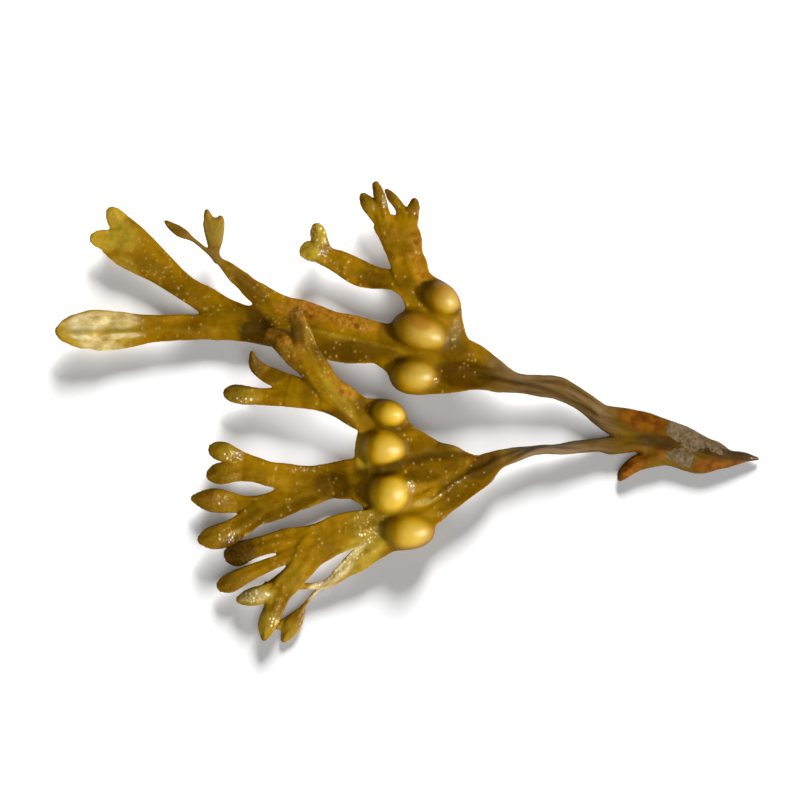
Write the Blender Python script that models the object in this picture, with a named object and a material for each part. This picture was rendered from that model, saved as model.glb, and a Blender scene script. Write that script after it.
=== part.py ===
"""A torn-off frond of bladderwrack (Fucus vesiculosus), lying on a flat surface.

The frond grew as one branching piece. It is split into nodes at its main forks, with GAP between
them. Each node is a union of ribbons, lofted along the spines below, and of its air bladders.
X runs from the blade tips to the torn base, Z is up, and the frond rests on Z = 0.
"""

import math

import bmesh
import bpy
from mathutils import Matrix, Vector

MM = 0.001
GAP = 0.3  # between nodes that meet at a fork
STEP = 2.6  # length of one lofted step along a spine
CENTRE = Vector((1.45, -2.4, 0.0))  # middle of the frond in the plan below

# The frond is thick and leathery at its base and thins out through the stipes to the blades.
HALF_THICKNESS = ((16, 0.75), (24, 0.95), (40, 1.2), (50, 1.5), (62, 1.6), (72, 0.7))
SHOULDER = 0.6  # where the section's shoulder lies, as a share of its half width
SHOULDER_HEIGHT = 0.62  # its height, as a share of the midrib's

# Spines in plan millimetres. A station is (x, y, z, half width) and may end in a roll in degrees,
# which turns the ribbon about its spine. Each spine passes through one or more nodes, from the
# base outwards, and the first station of a node is where it meets the node before it.
SPINES = {
    "upper axis": {
        "base": [
            (71.7, -11.9, 0.9, 0.3),
            (69.0, -11.6, 1.2, 1.0),
            (65.6, -11.9, 1.3, 1.8),
            (63.0, -11.5, 1.4, 2.9),
            (60.0, -10.9, 1.4, 3.7),
            (56.0, -9.7, 1.5, 4.2),
            (52.0, -7.9, 1.5, 4.1),
            (48.0, -6.2, 1.6, 3.9),
            (45.0, -4.9, 1.8, 3.2),
        ],
        "upper_stipe": [
            (42.2, -3.9, 2.0, 2.7),
            (40.0, -2.9, 2.3, 2.2),
            (36.0, 0.0, 2.9, 2.0),
            (32.0, 2.2, 3.3, 2.3),
            (28.0, 2.9, 3.6, 2.2),
            (24.0, 3.5, 3.8, 1.9),
        ],
        "upper_bladder_blade": [
            (20.4, 4.4, 4.0, 2.8),
            (18.0, 5.5, 4.0, 3.5),
            (15.0, 6.6, 4.1, 4.7),
            (11.0, 7.5, 4.1, 6.1),
            (6.0, 8.3, 4.0, 7.4),
            (1.0, 9.4, 4.0, 8.0),
            (-1.2, 9.8, 4.0, 5.6),
        ],
        "long_blade": [
            (-4.0, 11.2, 3.9, 4.2),
            (-7.0, 11.9, 3.8, 4.2),
            (-10.0, 12.4, 3.7, 4.6),
            (-14.0, 13.1, 3.5, 4.8),
            (-18.0, 14.2, 3.3, 5.2),
            (-21.0, 14.9, 3.2, 5.2),
            (-25.0, 15.1, 3.0, 4.6),
            (-29.0, 15.2, 2.8, 3.9),
            (-33.0, 14.9, 2.6, 3.1),
            (-37.0, 14.7, 2.4, 2.7),
        ],
        "tongue_blade": [
            (-40.6, 14.6, 2.2, 2.6),
            (-46.0, 14.5, 1.8, 2.6),
            (-50.0, 14.3, 1.4, 2.7),
            (-54.0, 14.0, 1.1, 3.4),
            (-58.0, 13.9, 0.9, 3.9),
            (-61.5, 13.9, 0.8, 3.9),
            (-64.5, 13.8, 0.6, 3.3),
            (-67.0, 13.8, 0.5, 2.2),
            (-68.8, 13.8, 0.4, 0.6),
        ],
    },
    "spur": {
        "base": [
            (55.0, -10.5, 1.6, 2.0),
            (51.5, -11.2, 1.6, 1.9),
            (48.0, -12.4, 1.6, 1.6),
            (45.9, -13.9, 1.5, 1.4),
            (44.7, -15.1, 1.4, 1.0),
            (44.1, -16.2, 1.3, 0.3),
        ],
    },
    "notched fork": {
        "long_blade": [
            (-28.0, 15.6, 2.9, 1.8),
            (-32.0, 16.8, 2.9, 2.4),
            (-35.5, 18.2, 2.9, 2.7),
        ],
        "notched_blade": [
            (-39.2, 20.1, 2.8, 2.6),
            (-43.0, 22.3, 2.8, 2.5),
            (-47.6, 25.9, 2.9, 3.25),
            (-51.0, 28.4, 2.9, 3.9),
            (-54.5, 30.9, 2.7, 4.4),
            (-57.0, 33.0, 2.4, 4.2),
        ],
    },
    "notched lobe a": {
        "notched_blade": [
            (-53.6, 32.0, 2.6, 2.6),
            (-56.2, 35.6, 2.4, 2.2),
            (-57.5, 37.6, 2.2, 1.5),
            (-58.2, 38.7, 2.1, 0.5),
        ],
    },
    "notched lobe b": {
        "notched_blade": [
            (-55.2, 31.0, 2.6, 2.6),
            (-59.0, 31.9, 2.3, 2.1),
            (-61.0, 32.2, 2.1, 1.4),
            (-62.1, 32.4, 2.0, 0.5),
        ],
    },
    "thin shoot": {
        "long_blade": [
            (-20.0, 18.0, 3.3, 2.0),
            (-24.0, 19.3, 3.4, 1.9),
            (-27.4, 20.7, 3.5, 2.3),
        ],
        "thin_shoot": [
            (-29.6, 22.1, 3.7, 2.1),
            (-31.0, 23.4, 3.9, 1.9),
            (-33.0, 25.1, 4.2, 1.6),
            (-35.0, 26.9, 4.5, 1.1),
            (-36.9, 28.3, 4.8, 0.5),
            (-40.0, 31.0, 5.2, 0.4),
            (-41.6, 32.2, 5.4, 0.5),
            (-43.0, 33.1, 5.5, 1.0),
            (-44.4, 33.9, 5.5, 1.1),
            (-46.0, 35.0, 5.5, 0.7),
            (-47.1, 35.9, 5.5, 0.2),
        ],
    },
    "heart leaflet": {
        "thin_shoot": [
            (-36.4, 27.8, 4.7, 0.7),
            (-37.0, 29.8, 5.0, 0.9),
            (-37.0, 32.0, 5.5, 1.5),
            (-37.1, 34.2, 6.0, 1.8),
            (-37.2, 35.8, 6.3, 1.8),
        ],
    },
    "heart lobe a": {
        "thin_shoot": [
            (-37.6, 34.6, 6.1, 1.0),
            (-38.2, 36.8, 6.5, 0.9),
            (-38.6, 38.4, 6.8, 0.3),
        ],
    },
    "heart lobe b": {
        "thin_shoot": [
            (-36.8, 34.4, 6.1, 1.0),
            (-36.1, 36.2, 6.4, 0.9),
            (-35.6, 37.2, 6.6, 0.3),
        ],
    },
    "receptacle arm": {
        "upper_bladder_blade": [
            (5.0, 18.8, 4.2, 3.2),
            (2.2, 21.3, 4.2, 2.7),
            (-0.6, 23.5, 4.3, 2.1),
        ],
        "receptacle_arm": [
            (-3.0, 24.2, 4.4, 2.1),
            (-5.5, 24.7, 4.5, 2.2),
            (-8.4, 25.7, 4.7, 2.5),
            (-12.0, 27.5, 5.0, 2.4),
            (-14.5, 28.6, 5.3, 1.9),
            (-16.0, 29.4, 5.4, 1.6),
        ],
    },
    "receptacle lobe a": {
        "receptacle_arm": [
            (-15.2, 29.0, 5.4, 1.5),
            (-16.4, 31.6, 5.7, 1.5),
            (-16.8, 34.0, 5.9, 1.5),
            (-17.0, 35.6, 6.0, 0.7),
        ],
    },
    "receptacle lobe b": {
        "receptacle_arm": [
            (-15.2, 29.0, 5.4, 1.6),
            (-18.2, 30.0, 5.6, 1.9),
            (-19.6, 29.9, 5.7, 1.5),
            (-20.5, 29.9, 5.7, 0.7),
        ],
    },
    "finger arm": {
        "upper_bladder_blade": [
            (12.4, 8.6, 4.1, 3.2),
            (8.9, 13.9, 4.2, 4.1),
            (7.1, 17.4, 4.2, 4.6),
            (5.0, 21.0, 4.2, 4.0),
            (3.1, 24.0, 4.3, 3.6),
            (2.0, 26.6, 4.4, 3.5),
        ],
        "finger_arm": [
            (1.2, 28.6, 4.4, 3.5),
            (0.6, 31.0, 4.5, 3.8),
            (-0.1, 33.4, 4.5, 4.1),
        ],
    },
    "fingers left": {
        "finger_arm": [
            (-0.8, 32.4, 4.5, 2.6),
            (-2.4, 34.6, 4.5, 2.5),
            (-3.3, 36.0, 4.5, 2.2),
        ],
    },
    "finger 1": {
        "finger_arm": [
            (-3.0, 34.8, 4.5, 1.5),
            (-5.2, 37.6, 4.6, 1.35),
            (-6.7, 39.5, 4.8, 1.4),
            (-8.0, 41.4, 4.9, 0.4),
        ],
    },
    "finger 2": {
        "finger_arm": [
            (-2.8, 35.4, 4.6, 1.4),
            (-3.5, 38.6, 5.0, 1.15),
            (-4.2, 41.0, 5.4, 1.1),
            (-4.9, 43.2, 5.7, 0.7),
            (-5.0, 43.9, 5.7, 0.3),
        ],
    },
    "fingers right": {
        "finger_arm": [
            (0.4, 32.6, 4.4, 2.5),
            (1.1, 34.8, 4.3, 2.3),
            (1.6, 37.0, 4.2, 2.1),
        ],
    },
    "finger 3": {
        "finger_arm": [
            (1.3, 36.2, 4.2, 1.3),
            (0.0, 39.0, 4.1, 1.0),
            (-1.4, 40.6, 4.0, 0.95),
            (-2.8, 42.2, 3.9, 0.3),
        ],
    },
    "finger 4": {
        "finger_arm": [
            (1.9, 36.2, 4.1, 1.3),
            (2.6, 38.8, 3.7, 1.0),
            (2.8, 40.7, 3.4, 0.4),
        ],
    },
    "lower axis": {
        "base": [
            (52.0, -9.0, 1.6, 2.0),
            (48.0, -8.6, 1.7, 1.7),
            (45.0, -8.9, 1.8, 1.7),
        ],
        "lower_stipe": [
            (42.2, -9.1, 1.9, 1.8),
            (40.0, -9.0, 2.1, 1.4, 5),
            (36.0, -9.4, 2.5, 1.4, 30),
            (32.0, -9.9, 2.9, 1.5, 62),
            (29.0, -9.9, 3.2, 1.5, 80),
            (26.0, -10.3, 3.4, 1.5, 62),
            (23.0, -11.0, 3.6, 1.6, 28),
        ],
        "lower_bladder_blade": [
            (20.0, -11.8, 3.8, 1.9, 8),
            (18.0, -12.9, 3.9, 2.4),
            (16.0, -14.0, 4.0, 3.2),
            (12.5, -14.8, 4.1, 4.6),
            (9.0, -15.6, 4.2, 6.0),
            (5.0, -16.2, 4.2, 6.6),
            (1.0, -16.4, 4.2, 5.6),
            (-3.0, -16.2, 4.2, 4.4),
            (-6.5, -16.0, 4.2, 3.9),
        ],
        "middle_blade": [
            (-9.4, -15.8, 4.1, 3.8),
            (-12.0, -15.9, 4.0, 3.7),
            (-14.5, -16.3, 3.9, 3.6),
            (-18.0, -17.2, 3.8, 4.0),
            (-20.5, -17.7, 3.7, 4.5),
        ],
    },
    "middle upper arm": {
        "middle_blade": [
            (-18.5, -16.2, 3.7, 2.6),
            (-23.0, -15.2, 3.6, 2.6),
            (-26.0, -14.9, 3.4, 2.5),
            (-29.0, -14.0, 3.1, 2.4),
            (-31.0, -13.7, 3.0, 2.5),
        ],
    },
    "middle tip 1": {
        "middle_blade": [
            (-29.4, -13.2, 3.0, 1.8),
            (-33.0, -11.7, 2.9, 1.6),
            (-35.6, -10.5, 2.7, 1.75),
            (-37.4, -9.9, 2.5, 1.4),
            (-38.7, -9.6, 2.4, 0.5),
        ],
    },
    "middle tip 2": {
        "middle_blade": [
            (-29.6, -14.2, 3.0, 1.8),
            (-33.0, -14.9, 2.7, 1.7),
            (-35.6, -14.9, 2.4, 1.95),
            (-37.4, -15.2, 2.2, 1.5),
            (-38.8, -15.4, 2.1, 0.5),
        ],
    },
    "middle lower arm": {
        "middle_blade": [
            (-18.5, -18.4, 3.6, 2.6),
            (-23.0, -20.3, 3.5, 3.0),
            (-26.0, -21.5, 3.4, 2.9),
            (-28.4, -22.3, 3.3, 2.7),
        ],
    },
    "middle tip 3": {
        "middle_blade": [
            (-27.0, -21.0, 3.3, 2.0),
            (-31.0, -20.8, 2.9, 1.8),
            (-34.0, -20.4, 2.5, 2.2),
            (-37.4, -20.1, 2.1, 2.4),
            (-40.0, -19.8, 1.8, 1.6),
            (-41.8, -19.6, 1.6, 0.5),
        ],
    },
    "middle tip 4": {
        "middle_blade": [
            (-27.0, -22.0, 3.3, 2.0),
            (-31.0, -24.8, 3.6, 2.0),
            (-33.4, -26.3, 4.0, 2.1),
            (-36.0, -27.4, 4.3, 2.6),
            (-38.4, -27.9, 4.4, 2.1),
            (-40.6, -28.4, 4.3, 0.5),
        ],
    },
    "bottom axis": {
        "lower_bladder_blade": [
            (13.0, -17.0, 4.1, 3.0),
            (9.0, -19.6, 4.2, 2.7),
            (5.5, -22.2, 4.2, 3.2),
            (1.6, -24.4, 4.3, 4.0),
            (-2.5, -25.2, 4.4, 4.1),
            (-6.5, -25.8, 4.5, 3.9),
        ],
        "bottom_blade": [
            (-9.6, -26.0, 4.6, 3.8),
            (-13.0, -27.0, 4.6, 3.8),
            (-15.8, -28.6, 4.6, 3.8),
            (-19.0, -30.4, 4.6, 3.8),
        ],
    },
    "bottom tip 1": {
        "bottom_blade": [
            (-16.5, -27.2, 4.4, 2.4),
            (-20.0, -27.8, 3.9, 2.4),
            (-23.0, -28.1, 3.3, 2.4),
            (-26.0, -28.7, 2.7, 1.9),
            (-30.0, -29.9, 1.9, 1.8),
            (-32.6, -30.8, 1.3, 2.3),
            (-34.4, -31.5, 1.2, 1.7),
            (-35.6, -31.8, 1.1, 0.5),
        ],
    },
    "bottom tip 2": {
        "bottom_blade": [
            (-18.0, -30.0, 4.6, 2.0),
            (-22.0, -31.5, 4.5, 1.5),
            (-25.0, -32.5, 4.3, 1.35),
            (-28.0, -33.7, 4.0, 1.5),
            (-31.2, -35.2, 3.6, 1.7),
            (-34.0, -36.6, 3.2, 1.9),
            (-35.6, -37.4, 3.0, 1.3),
            (-36.8, -38.1, 2.8, 0.4),
        ],
    },
    "bottom lower arm": {
        "bottom_blade": [
            (-17.0, -29.4, 4.6, 3.0),
            (-19.2, -32.8, 4.6, 2.6),
            (-20.8, -35.0, 4.5, 2.3),
            (-22.6, -36.9, 4.4, 2.4),
            (-23.9, -38.0, 4.3, 2.2),
        ],
    },
    "bottom tip 3": {
        "bottom_blade": [
            (-23.2, -37.4, 4.3, 1.7),
            (-27.0, -38.8, 3.9, 1.9),
            (-30.0, -39.7, 3.4, 1.8),
            (-32.0, -40.0, 3.1, 1.0),
            (-33.1, -40.2, 2.9, 0.4),
        ],
    },
    "bottom tip 4": {
        "bottom_blade": [
            (-23.0, -37.0, 4.3, 1.9),
            (-24.4, -40.3, 4.1, 1.9),
            (-25.6, -42.6, 3.8, 2.0),
            (-26.6, -45.0, 3.4, 1.8),
            (-27.0, -46.8, 3.0, 1.2),
            (-27.3, -48.1, 2.8, 0.4),
        ],
    },
    "bottom small finger": {
        "bottom_blade": [
            (-22.0, -33.8, 4.4, 0.6),
            (-25.2, -36.0, 3.6, 0.45),
            (-27.3, -37.3, 3.2, 0.3),
        ],
    },
    "lower wing": {
        "lower_bladder_blade": [
            (14.6, -11.9, 4.4, 0.8),
            (12.4, -10.4, 4.8, 1.2),
            (9.8, -9.4, 4.9, 1.1),
            (7.4, -9.6, 4.6, 0.8),
        ],
    },
    "lower web": {
        "lower_bladder_blade": [
            (-5.4, -5.0, 4.4, 2.1),
            (-6.1, -9.8, 4.3, 2.2),
            (-5.6, -15.0, 4.2, 2.0),
            (-5.4, -21.0, 4.2, 2.1),
            (-5.2, -24.0, 4.2, 2.1),
        ],
    },
    "crossing axis": {
        "lower_bladder_blade": [
            (11.5, -12.8, 4.2, 2.4),
            (8.0, -11.6, 4.3, 2.8),
            (3.4, -9.4, 4.4, 3.0),
            (0.4, -6.4, 4.5, 3.4),
            (-2.5, -4.2, 4.6, 3.8),
            (-5.5, -3.3, 4.8, 3.6),
        ],
        "crossing_blade": [
            (-7.9, -2.7, 5.0, 3.3),
            (-10.2, -1.0, 5.2, 3.5),
            (-12.4, 0.3, 5.5, 3.5),
            (-14.6, 1.6, 5.8, 3.2),
        ],
    },
    "crossing finger": {
        "crossing_blade": [
            (-13.4, 0.8, 5.7, 2.4),
            (-15.4, 4.5, 6.4, 2.6),
            (-17.1, 7.0, 7.0, 2.3),
            (-18.5, 10.0, 7.9, 2.0),
            (-19.8, 13.0, 8.8, 1.75),
            (-20.6, 15.6, 9.6, 1.3),
            (-21.0, 17.8, 10.2, 0.4),
        ],
    },
    "short finger": {
        "crossing_blade": [
            (-14.6, 2.2, 5.9, 2.2),
            (-18.0, 5.8, 6.3, 2.2),
            (-20.6, 8.2, 6.6, 2.0),
            (-23.4, 10.6, 6.9, 1.8),
            (-25.4, 11.9, 7.1, 1.2),
            (-26.9, 12.6, 7.2, 0.4),
        ],
    },
    "crossing lower arm": {
        "crossing_blade": [
            (-13.0, 0.2, 5.6, 3.0),
            (-17.0, 1.0, 5.3, 2.7),
            (-20.0, 1.5, 5.0, 2.8),
            (-22.4, 1.9, 4.8, 3.0),
        ],
    },
    "crossing tip 1": {
        "crossing_blade": [
            (-20.6, 3.0, 4.8, 1.8),
            (-24.6, 4.4, 4.7, 1.9),
            (-27.2, 5.5, 4.7, 1.6),
            (-28.9, 7.0, 4.8, 1.3),
            (-29.4, 8.4, 5.0, 0.8),
            (-29.6, 9.9, 5.2, 0.3),
        ],
    },
    "crossing tip 2": {
        "crossing_blade": [
            (-20.8, 0.8, 4.8, 1.9),
            (-25.0, 0.5, 4.5, 1.6),
            (-28.4, 0.6, 4.1, 1.6),
            (-31.0, 0.9, 3.8, 1.9),
            (-33.0, 1.1, 3.5, 2.0),
            (-34.6, 1.2, 3.3, 1.4),
            (-35.5, 1.2, 3.2, 0.5),
        ],
    },
    "strap": {
        "lower_bladder_blade": [
            (6.0, -24.0, 4.1, 2.6),
            (1.0, -27.4, 4.0, 2.3),
            (-3.0, -28.9, 3.9, 2.4),
            (-6.1, -30.5, 3.6, 2.5),
            (-8.6, -32.0, 3.3, 2.2),
        ],
        "strap_strand": [
            (-10.9, -33.8, 2.9, 1.7),
            (-13.4, -36.0, 2.4, 1.1),
            (-15.6, -37.4, 2.0, 0.5),
            (-17.0, -38.5, 1.7, 0.4),
            (-19.2, -41.2, 1.3, 0.4),
            (-20.0, -42.6, 1.2, 1.0),
            (-21.2, -44.4, 1.1, 1.6),
            (-22.2, -46.2, 1.0, 1.5),
            (-23.0, -47.6, 0.9, 1.0),
            (-23.6, -48.6, 0.9, 0.3),
        ],
    },
    "strand bridge": {
        "strap_strand": [
            (-15.2, -37.2, 2.1, 0.4),
            (-17.2, -37.4, 2.6, 0.5),
            (-18.8, -37.3, 3.0, 0.3),
        ],
    },
    "strand lobe": {
        "strap_strand": [
            (-21.2, -44.0, 1.1, 1.0),
            (-23.6, -44.9, 1.1, 0.85),
            (-24.8, -45.9, 1.1, 0.4),
        ],
    },
}

# Extra half thickness of the swollen receptacle at the end of a spine, and the swelling's length.
SWELLING = {
    "receptacle lobe a": (1.0, 7.0),
    "receptacle lobe b": (1.1, 6.0),
    "finger 1": (0.6, 5.0),
    "finger 2": (0.5, 5.0),
    "finger 3": (0.3, 4.0),
    "finger 4": (0.3, 3.0),
    "middle tip 1": (0.7, 7.0),
    "middle tip 2": (0.8, 7.0),
    "middle tip 3": (0.8, 9.0),
    "middle tip 4": (0.7, 8.0),
    "bottom tip 1": (0.4, 7.0),
    "bottom tip 2": (0.6, 9.0),
    "bottom tip 3": (0.5, 7.0),
    "bottom tip 4": (0.6, 9.0),
    "crossing finger": (0.4, 8.0),
    "short finger": (0.3, 7.0),
    "crossing tip 1": (0.2, 5.0),
    "crossing tip 2": (0.7, 7.0),
    "strap": (0.6, 8.0),
}

# Air bladders: centre, half length, half width, half height and the azimuth of the long axis.
BLADDERS = {
    "upper_bladder_blade": [
        ((8.6, 20.6, 4.3), (3.4, 3.3, 3.3), 0),
        ((4.1, 13.6, 3.8), (5.6, 3.8, 4.0), -22),
        ((2.5, 4.9, 3.6), (5.5, 3.9, 3.8), -3),
    ],
    "lower_bladder_blade": [
        ((-2.1, -2.5, 4.9), (3.5, 2.7, 2.9), -15),
        ((-3.0, -9.7, 3.8), (4.6, 3.9, 4.0), -10),
        ((-2.2, -18.6, 3.9), (4.2, 4.3, 4.1), 0),
        ((1.8, -26.5, 3.8), (5.0, 3.9, 4.0), 0),
    ],
}
BLADDER_SEGMENTS = 14
BLADDER_RINGS = 8

COLOURS = {
    "base": (0.20, 0.075, 0.015),
    "upper_stipe": (0.19, 0.115, 0.035),
    "lower_stipe": (0.19, 0.115, 0.035),
}
BLADE_COLOUR = (0.25, 0.145, 0.008)
ROUGHNESS = 0.35


def clear_scene():
    for thing in list(bpy.data.objects):
        bpy.data.objects.remove(thing)


def half_thickness(x):
    """Half the thickness of the midrib at a distance x along the frond."""
    near = HALF_THICKNESS[0]
    for far in HALF_THICKNESS:
        if x <= far[0]:
            share = (x - near[0]) / (far[0] - near[0]) if far[0] > near[0] else 0.0
            return near[1] + (far[1] - near[1]) * max(share, 0.0)
        near = far
    return near[1]


def between(a, b, c, d, t):
    """The Catmull-Rom value at t between b and c."""
    return 0.5 * (
        2 * b + (c - a) * t + (2 * a - 5 * b + 4 * c - d) * t * t + (3 * b - a - 3 * c + d) * t**3
    )


def sampled(stations):
    """Points along the smooth curve through the stations, and the index of each station."""
    rows = [tuple(s) + (0.0,) * (5 - len(s)) for s in stations]
    points = []
    marks = []
    for i in range(len(rows) - 1):
        marks.append(len(points))
        around = [rows[max(i - 1, 0)], rows[i], rows[i + 1], rows[min(i + 2, len(rows) - 1)]]
        length = (Vector(rows[i + 1][:3]) - Vector(rows[i][:3])).length
        steps = max(1, round(length / STEP))
        for k in range(steps):
            points.append([between(*values, k / steps) for values in zip(*around)])
    marks.append(len(points))
    points.append(list(rows[-1]))
    return points, marks


def section(half_width, thickness):
    """A flat lens with a raised middle, as offsets across and up."""
    shoulder = SHOULDER * half_width
    height = SHOULDER_HEIGHT * thickness
    return [
        (half_width, 0.0),
        (shoulder, height),
        (0.0, thickness),
        (-shoulder, height),
        (-half_width, 0.0),
        (-shoulder, -height),
        (0.0, -thickness),
        (shoulder, -height),
    ]


def ribbon(name, points, first, last, swelling, open_start, open_end):
    """The stretch of a spine from point first to point last, lofted as one closed form."""
    places = [Vector(p[:3]) for p in points]
    travelled = [0.0]
    for here, after in zip(places, places[1:]):
        travelled.append(travelled[-1] + (after - here).length)
    mesh = bmesh.new()
    rings = []
    for i in range(first, last + 1):
        along = (places[min(i + 1, len(places) - 1)] - places[max(i - 1, 0)]).normalized()
        across = Vector((0, 0, 1)).cross(along).normalized()
        across = Matrix.Rotation(math.radians(points[i][4]), 3, along) @ across
        up = along.cross(across)
        place = places[i]
        if i == first and not open_start:
            place = place + along * GAP / 2
        if i == last and not open_end:
            place = place - along * GAP / 2
        thickness = half_thickness(place.x)
        if swelling:
            reach = (travelled[-1] - travelled[i]) / swelling[1]
            thickness += swelling[0] * math.sin(math.pi * min(reach, 1.0))
        half_width = points[i][3]
        thickness = min(thickness, max(half_width, 0.3))
        rings.append([
            mesh.verts.new((place + across * a + up * b - CENTRE) * MM)
            for a, b in section(half_width, thickness)
        ])
    for ring, after in zip(rings, rings[1:]):
        for k in range(len(ring)):
            n = (k + 1) % len(ring)
            mesh.faces.new((ring[k], ring[n], after[n], after[k]))
    mesh.faces.new(reversed(rings[0]))
    mesh.faces.new(rings[-1])
    bmesh.ops.recalc_face_normals(mesh, faces=mesh.faces)
    return placed(name, mesh)


def bladder(name, centre, halves, azimuth):
    mesh = bmesh.new()
    bmesh.ops.create_uvsphere(
        mesh, u_segments=BLADDER_SEGMENTS, v_segments=BLADDER_RINGS, radius=1.0
    )
    turn = Matrix.Rotation(math.radians(azimuth), 4, "Z")
    size = Matrix.Diagonal((*halves, 1.0))
    shift = Matrix.Translation(Vector(centre) - CENTRE)
    bmesh.ops.transform(mesh, matrix=Matrix.Scale(MM, 4) @ shift @ turn @ size, verts=mesh.verts)
    return placed(name, mesh)


def placed(name, mesh):
    data = bpy.data.meshes.new(name)
    mesh.to_mesh(data)
    mesh.free()
    thing = bpy.data.objects.new(name, data)
    bpy.context.scene.collection.objects.link(thing)
    return thing


def node_forms():
    """The closed forms of each node, in the order in which the spines name the nodes."""
    forms = {}
    for name, stretches in SPINES.items():
        stations = [s for stretch in stretches.values() for s in stretch]
        points, marks = sampled(stations)
        start = 0
        for place, (node, stretch) in enumerate(stretches.items()):
            end = start + len(stretch)
            is_first = place == 0
            is_last = place == len(stretches) - 1
            last = marks[-1] if is_last else marks[end]
            form = ribbon(name, points, marks[start], last, SWELLING.get(name), is_first, is_last)
            forms.setdefault(node, []).append(form)
            start = end
    for node, bladders in BLADDERS.items():
        for centre, halves, azimuth in bladders:
            forms[node].append(bladder("bladder", centre, halves, azimuth))
    return forms


def fused(name, forms):
    """One mesh object made of the forms by exact unions."""
    body = forms[0]
    for form in forms[1:]:
        join = body.modifiers.new(form.name, "BOOLEAN")
        join.operation = "UNION"
        join.solver = "EXACT"
        join.object = form
    bpy.context.view_layer.update()
    graph = bpy.context.evaluated_depsgraph_get()
    data = bpy.data.meshes.new_from_object(body.evaluated_get(graph))
    for form in forms:
        bpy.data.objects.remove(form)
    data.name = name
    return bpy.data.objects.new(name, data)


def rest_on_surface(thing):
    """Cuts off what would sink into the surface, which leaves flats to rest on."""
    mesh = bmesh.new()
    mesh.from_mesh(thing.data)
    bmesh.ops.bisect_plane(
        mesh,
        geom=mesh.verts[:] + mesh.edges[:] + mesh.faces[:],
        dist=1e-7,
        plane_co=(0, 0, 0),
        plane_no=(0, 0, 1),
        clear_inner=True,
    )
    rim = [e for e in mesh.edges if e.is_boundary]
    if rim:
        bmesh.ops.holes_fill(mesh, edges=rim, sides=0)
    bmesh.ops.triangulate(mesh, faces=mesh.faces)
    mesh.to_mesh(thing.data)
    mesh.free()


def finish(node):
    colour = COLOURS.get(node, BLADE_COLOUR)
    material = bpy.data.materials.new(node)
    material.use_nodes = True
    shader = material.node_tree.nodes["Principled BSDF"]
    shader.inputs["Base Color"].default_value = (*colour, 1.0)
    shader.inputs["Roughness"].default_value = ROUGHNESS
    shader.inputs["Metallic"].default_value = 0.0
    return material


def main():
    clear_scene()
    frond = bpy.data.collections.new("bladderwrack")
    bpy.context.scene.collection.children.link(frond)
    for node, forms in node_forms().items():
        thing = fused(node, forms)
        frond.objects.link(thing)
        rest_on_surface(thing)
        thing.data.materials.clear()
        thing.data.materials.append(finish(node))
        thing.data.shade_smooth()
        thing.data.set_sharp_from_angle(angle=math.radians(40))


main()
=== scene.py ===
"""The looks of a torn-off frond of bladderwrack (Fucus vesiculosus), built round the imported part.

The whole frond is modelled as one distance field in plan millimetres: ribbons along spines, which
melt into each other at the forks, and air bladders that swell out of the blades. The field is
meshed once, finished with warts, pores, creases and wrinkles, and then shared out into seven
closed pieces.
"""

import math
from functools import cached_property
from itertools import product

import bmesh
import bpy
import numpy as np
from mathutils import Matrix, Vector, kdtree


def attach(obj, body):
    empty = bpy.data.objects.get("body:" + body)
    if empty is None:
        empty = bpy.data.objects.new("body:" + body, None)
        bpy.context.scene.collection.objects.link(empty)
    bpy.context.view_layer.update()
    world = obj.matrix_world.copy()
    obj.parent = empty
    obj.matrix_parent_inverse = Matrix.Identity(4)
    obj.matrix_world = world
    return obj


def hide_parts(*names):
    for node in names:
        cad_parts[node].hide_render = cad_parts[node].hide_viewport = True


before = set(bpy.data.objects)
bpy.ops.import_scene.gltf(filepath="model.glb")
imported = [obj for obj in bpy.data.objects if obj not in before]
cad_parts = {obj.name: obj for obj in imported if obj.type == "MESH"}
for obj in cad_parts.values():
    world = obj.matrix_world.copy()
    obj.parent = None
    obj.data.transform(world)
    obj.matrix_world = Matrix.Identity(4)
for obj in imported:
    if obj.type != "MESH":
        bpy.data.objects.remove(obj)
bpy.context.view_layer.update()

# Lengths are in plan millimetres, if nothing else is said.
MM = 0.001
CENTRE = np.array((1.45, -2.4, 0.0))  # middle of the frond in the plan below
VOXEL = 0.2  # step of the distance field's grid
CHUNK = 20000  # how many points are compared with a spine at once
STEP = 0.5  # between two samples along a spine
REACH = 1.1  # how far outside a form its distance field is written
SPARE = 6.0  # room in the field round all the spines
SMOOTHING = (0.5, -0.52) * 8  # share of the way to its neighbours' middle that a vertex goes
MELT = 0.8  # rounding where two ribbons meet
BLADDER_MELT = 1.3
EDGE = 0.26  # half thickness of a blade at its margin
LENS_EDGE = 0.225  # how much thicker it is where the section is a full lens
ROOTED = 0.2  # half thickness of a ribbon where it starts inside another
GROWN_OVER = 4.5  # the length over which it gets its full thickness
THINNED_OVER = 3.0  # the length over which a forking ribbon thins out at its end
THREAD = 0.2  # half width of the thinnest threads
WAVE, WAVINESS = 4.0, 0.16  # step and usual height of the waves in the margins
LUMPS = ((0.06, 2.3), (0.03, 0.9))  # heights of the skin's lumps, and how broad they are
WRINKLES = (0.26, 1.5)  # the same for the wet, wrinkled places
SAG = (0.2, 4.5)  # the same for how the blades rise and fall
CREASE_FADE = 2.0  # the length over which a crease runs out
DOT_SPACING = 0.62  # least distance between two pores or two warts
DOTS = {"pore": (0.24, 0.09, 0.07), "wart": (0.28, 0.06, 0.06)}  # radius, height, more if wet
PORE_CHANCE, WART_CHANCE = 0.009, 0.5  # how likely a vertex is to be one
PAINTED_GLINT_CHANCE = 0.15  # how many of the drops on the blades carry a painted glint, a small pale spot
CROWDS = 5.0  # size of the places with more pores than others
DROP_SPACING = 0.62
DROP_SQUEEZE = (1.05, 0.78, 1.0)  # the drops are longer across the frond than along it
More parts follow.
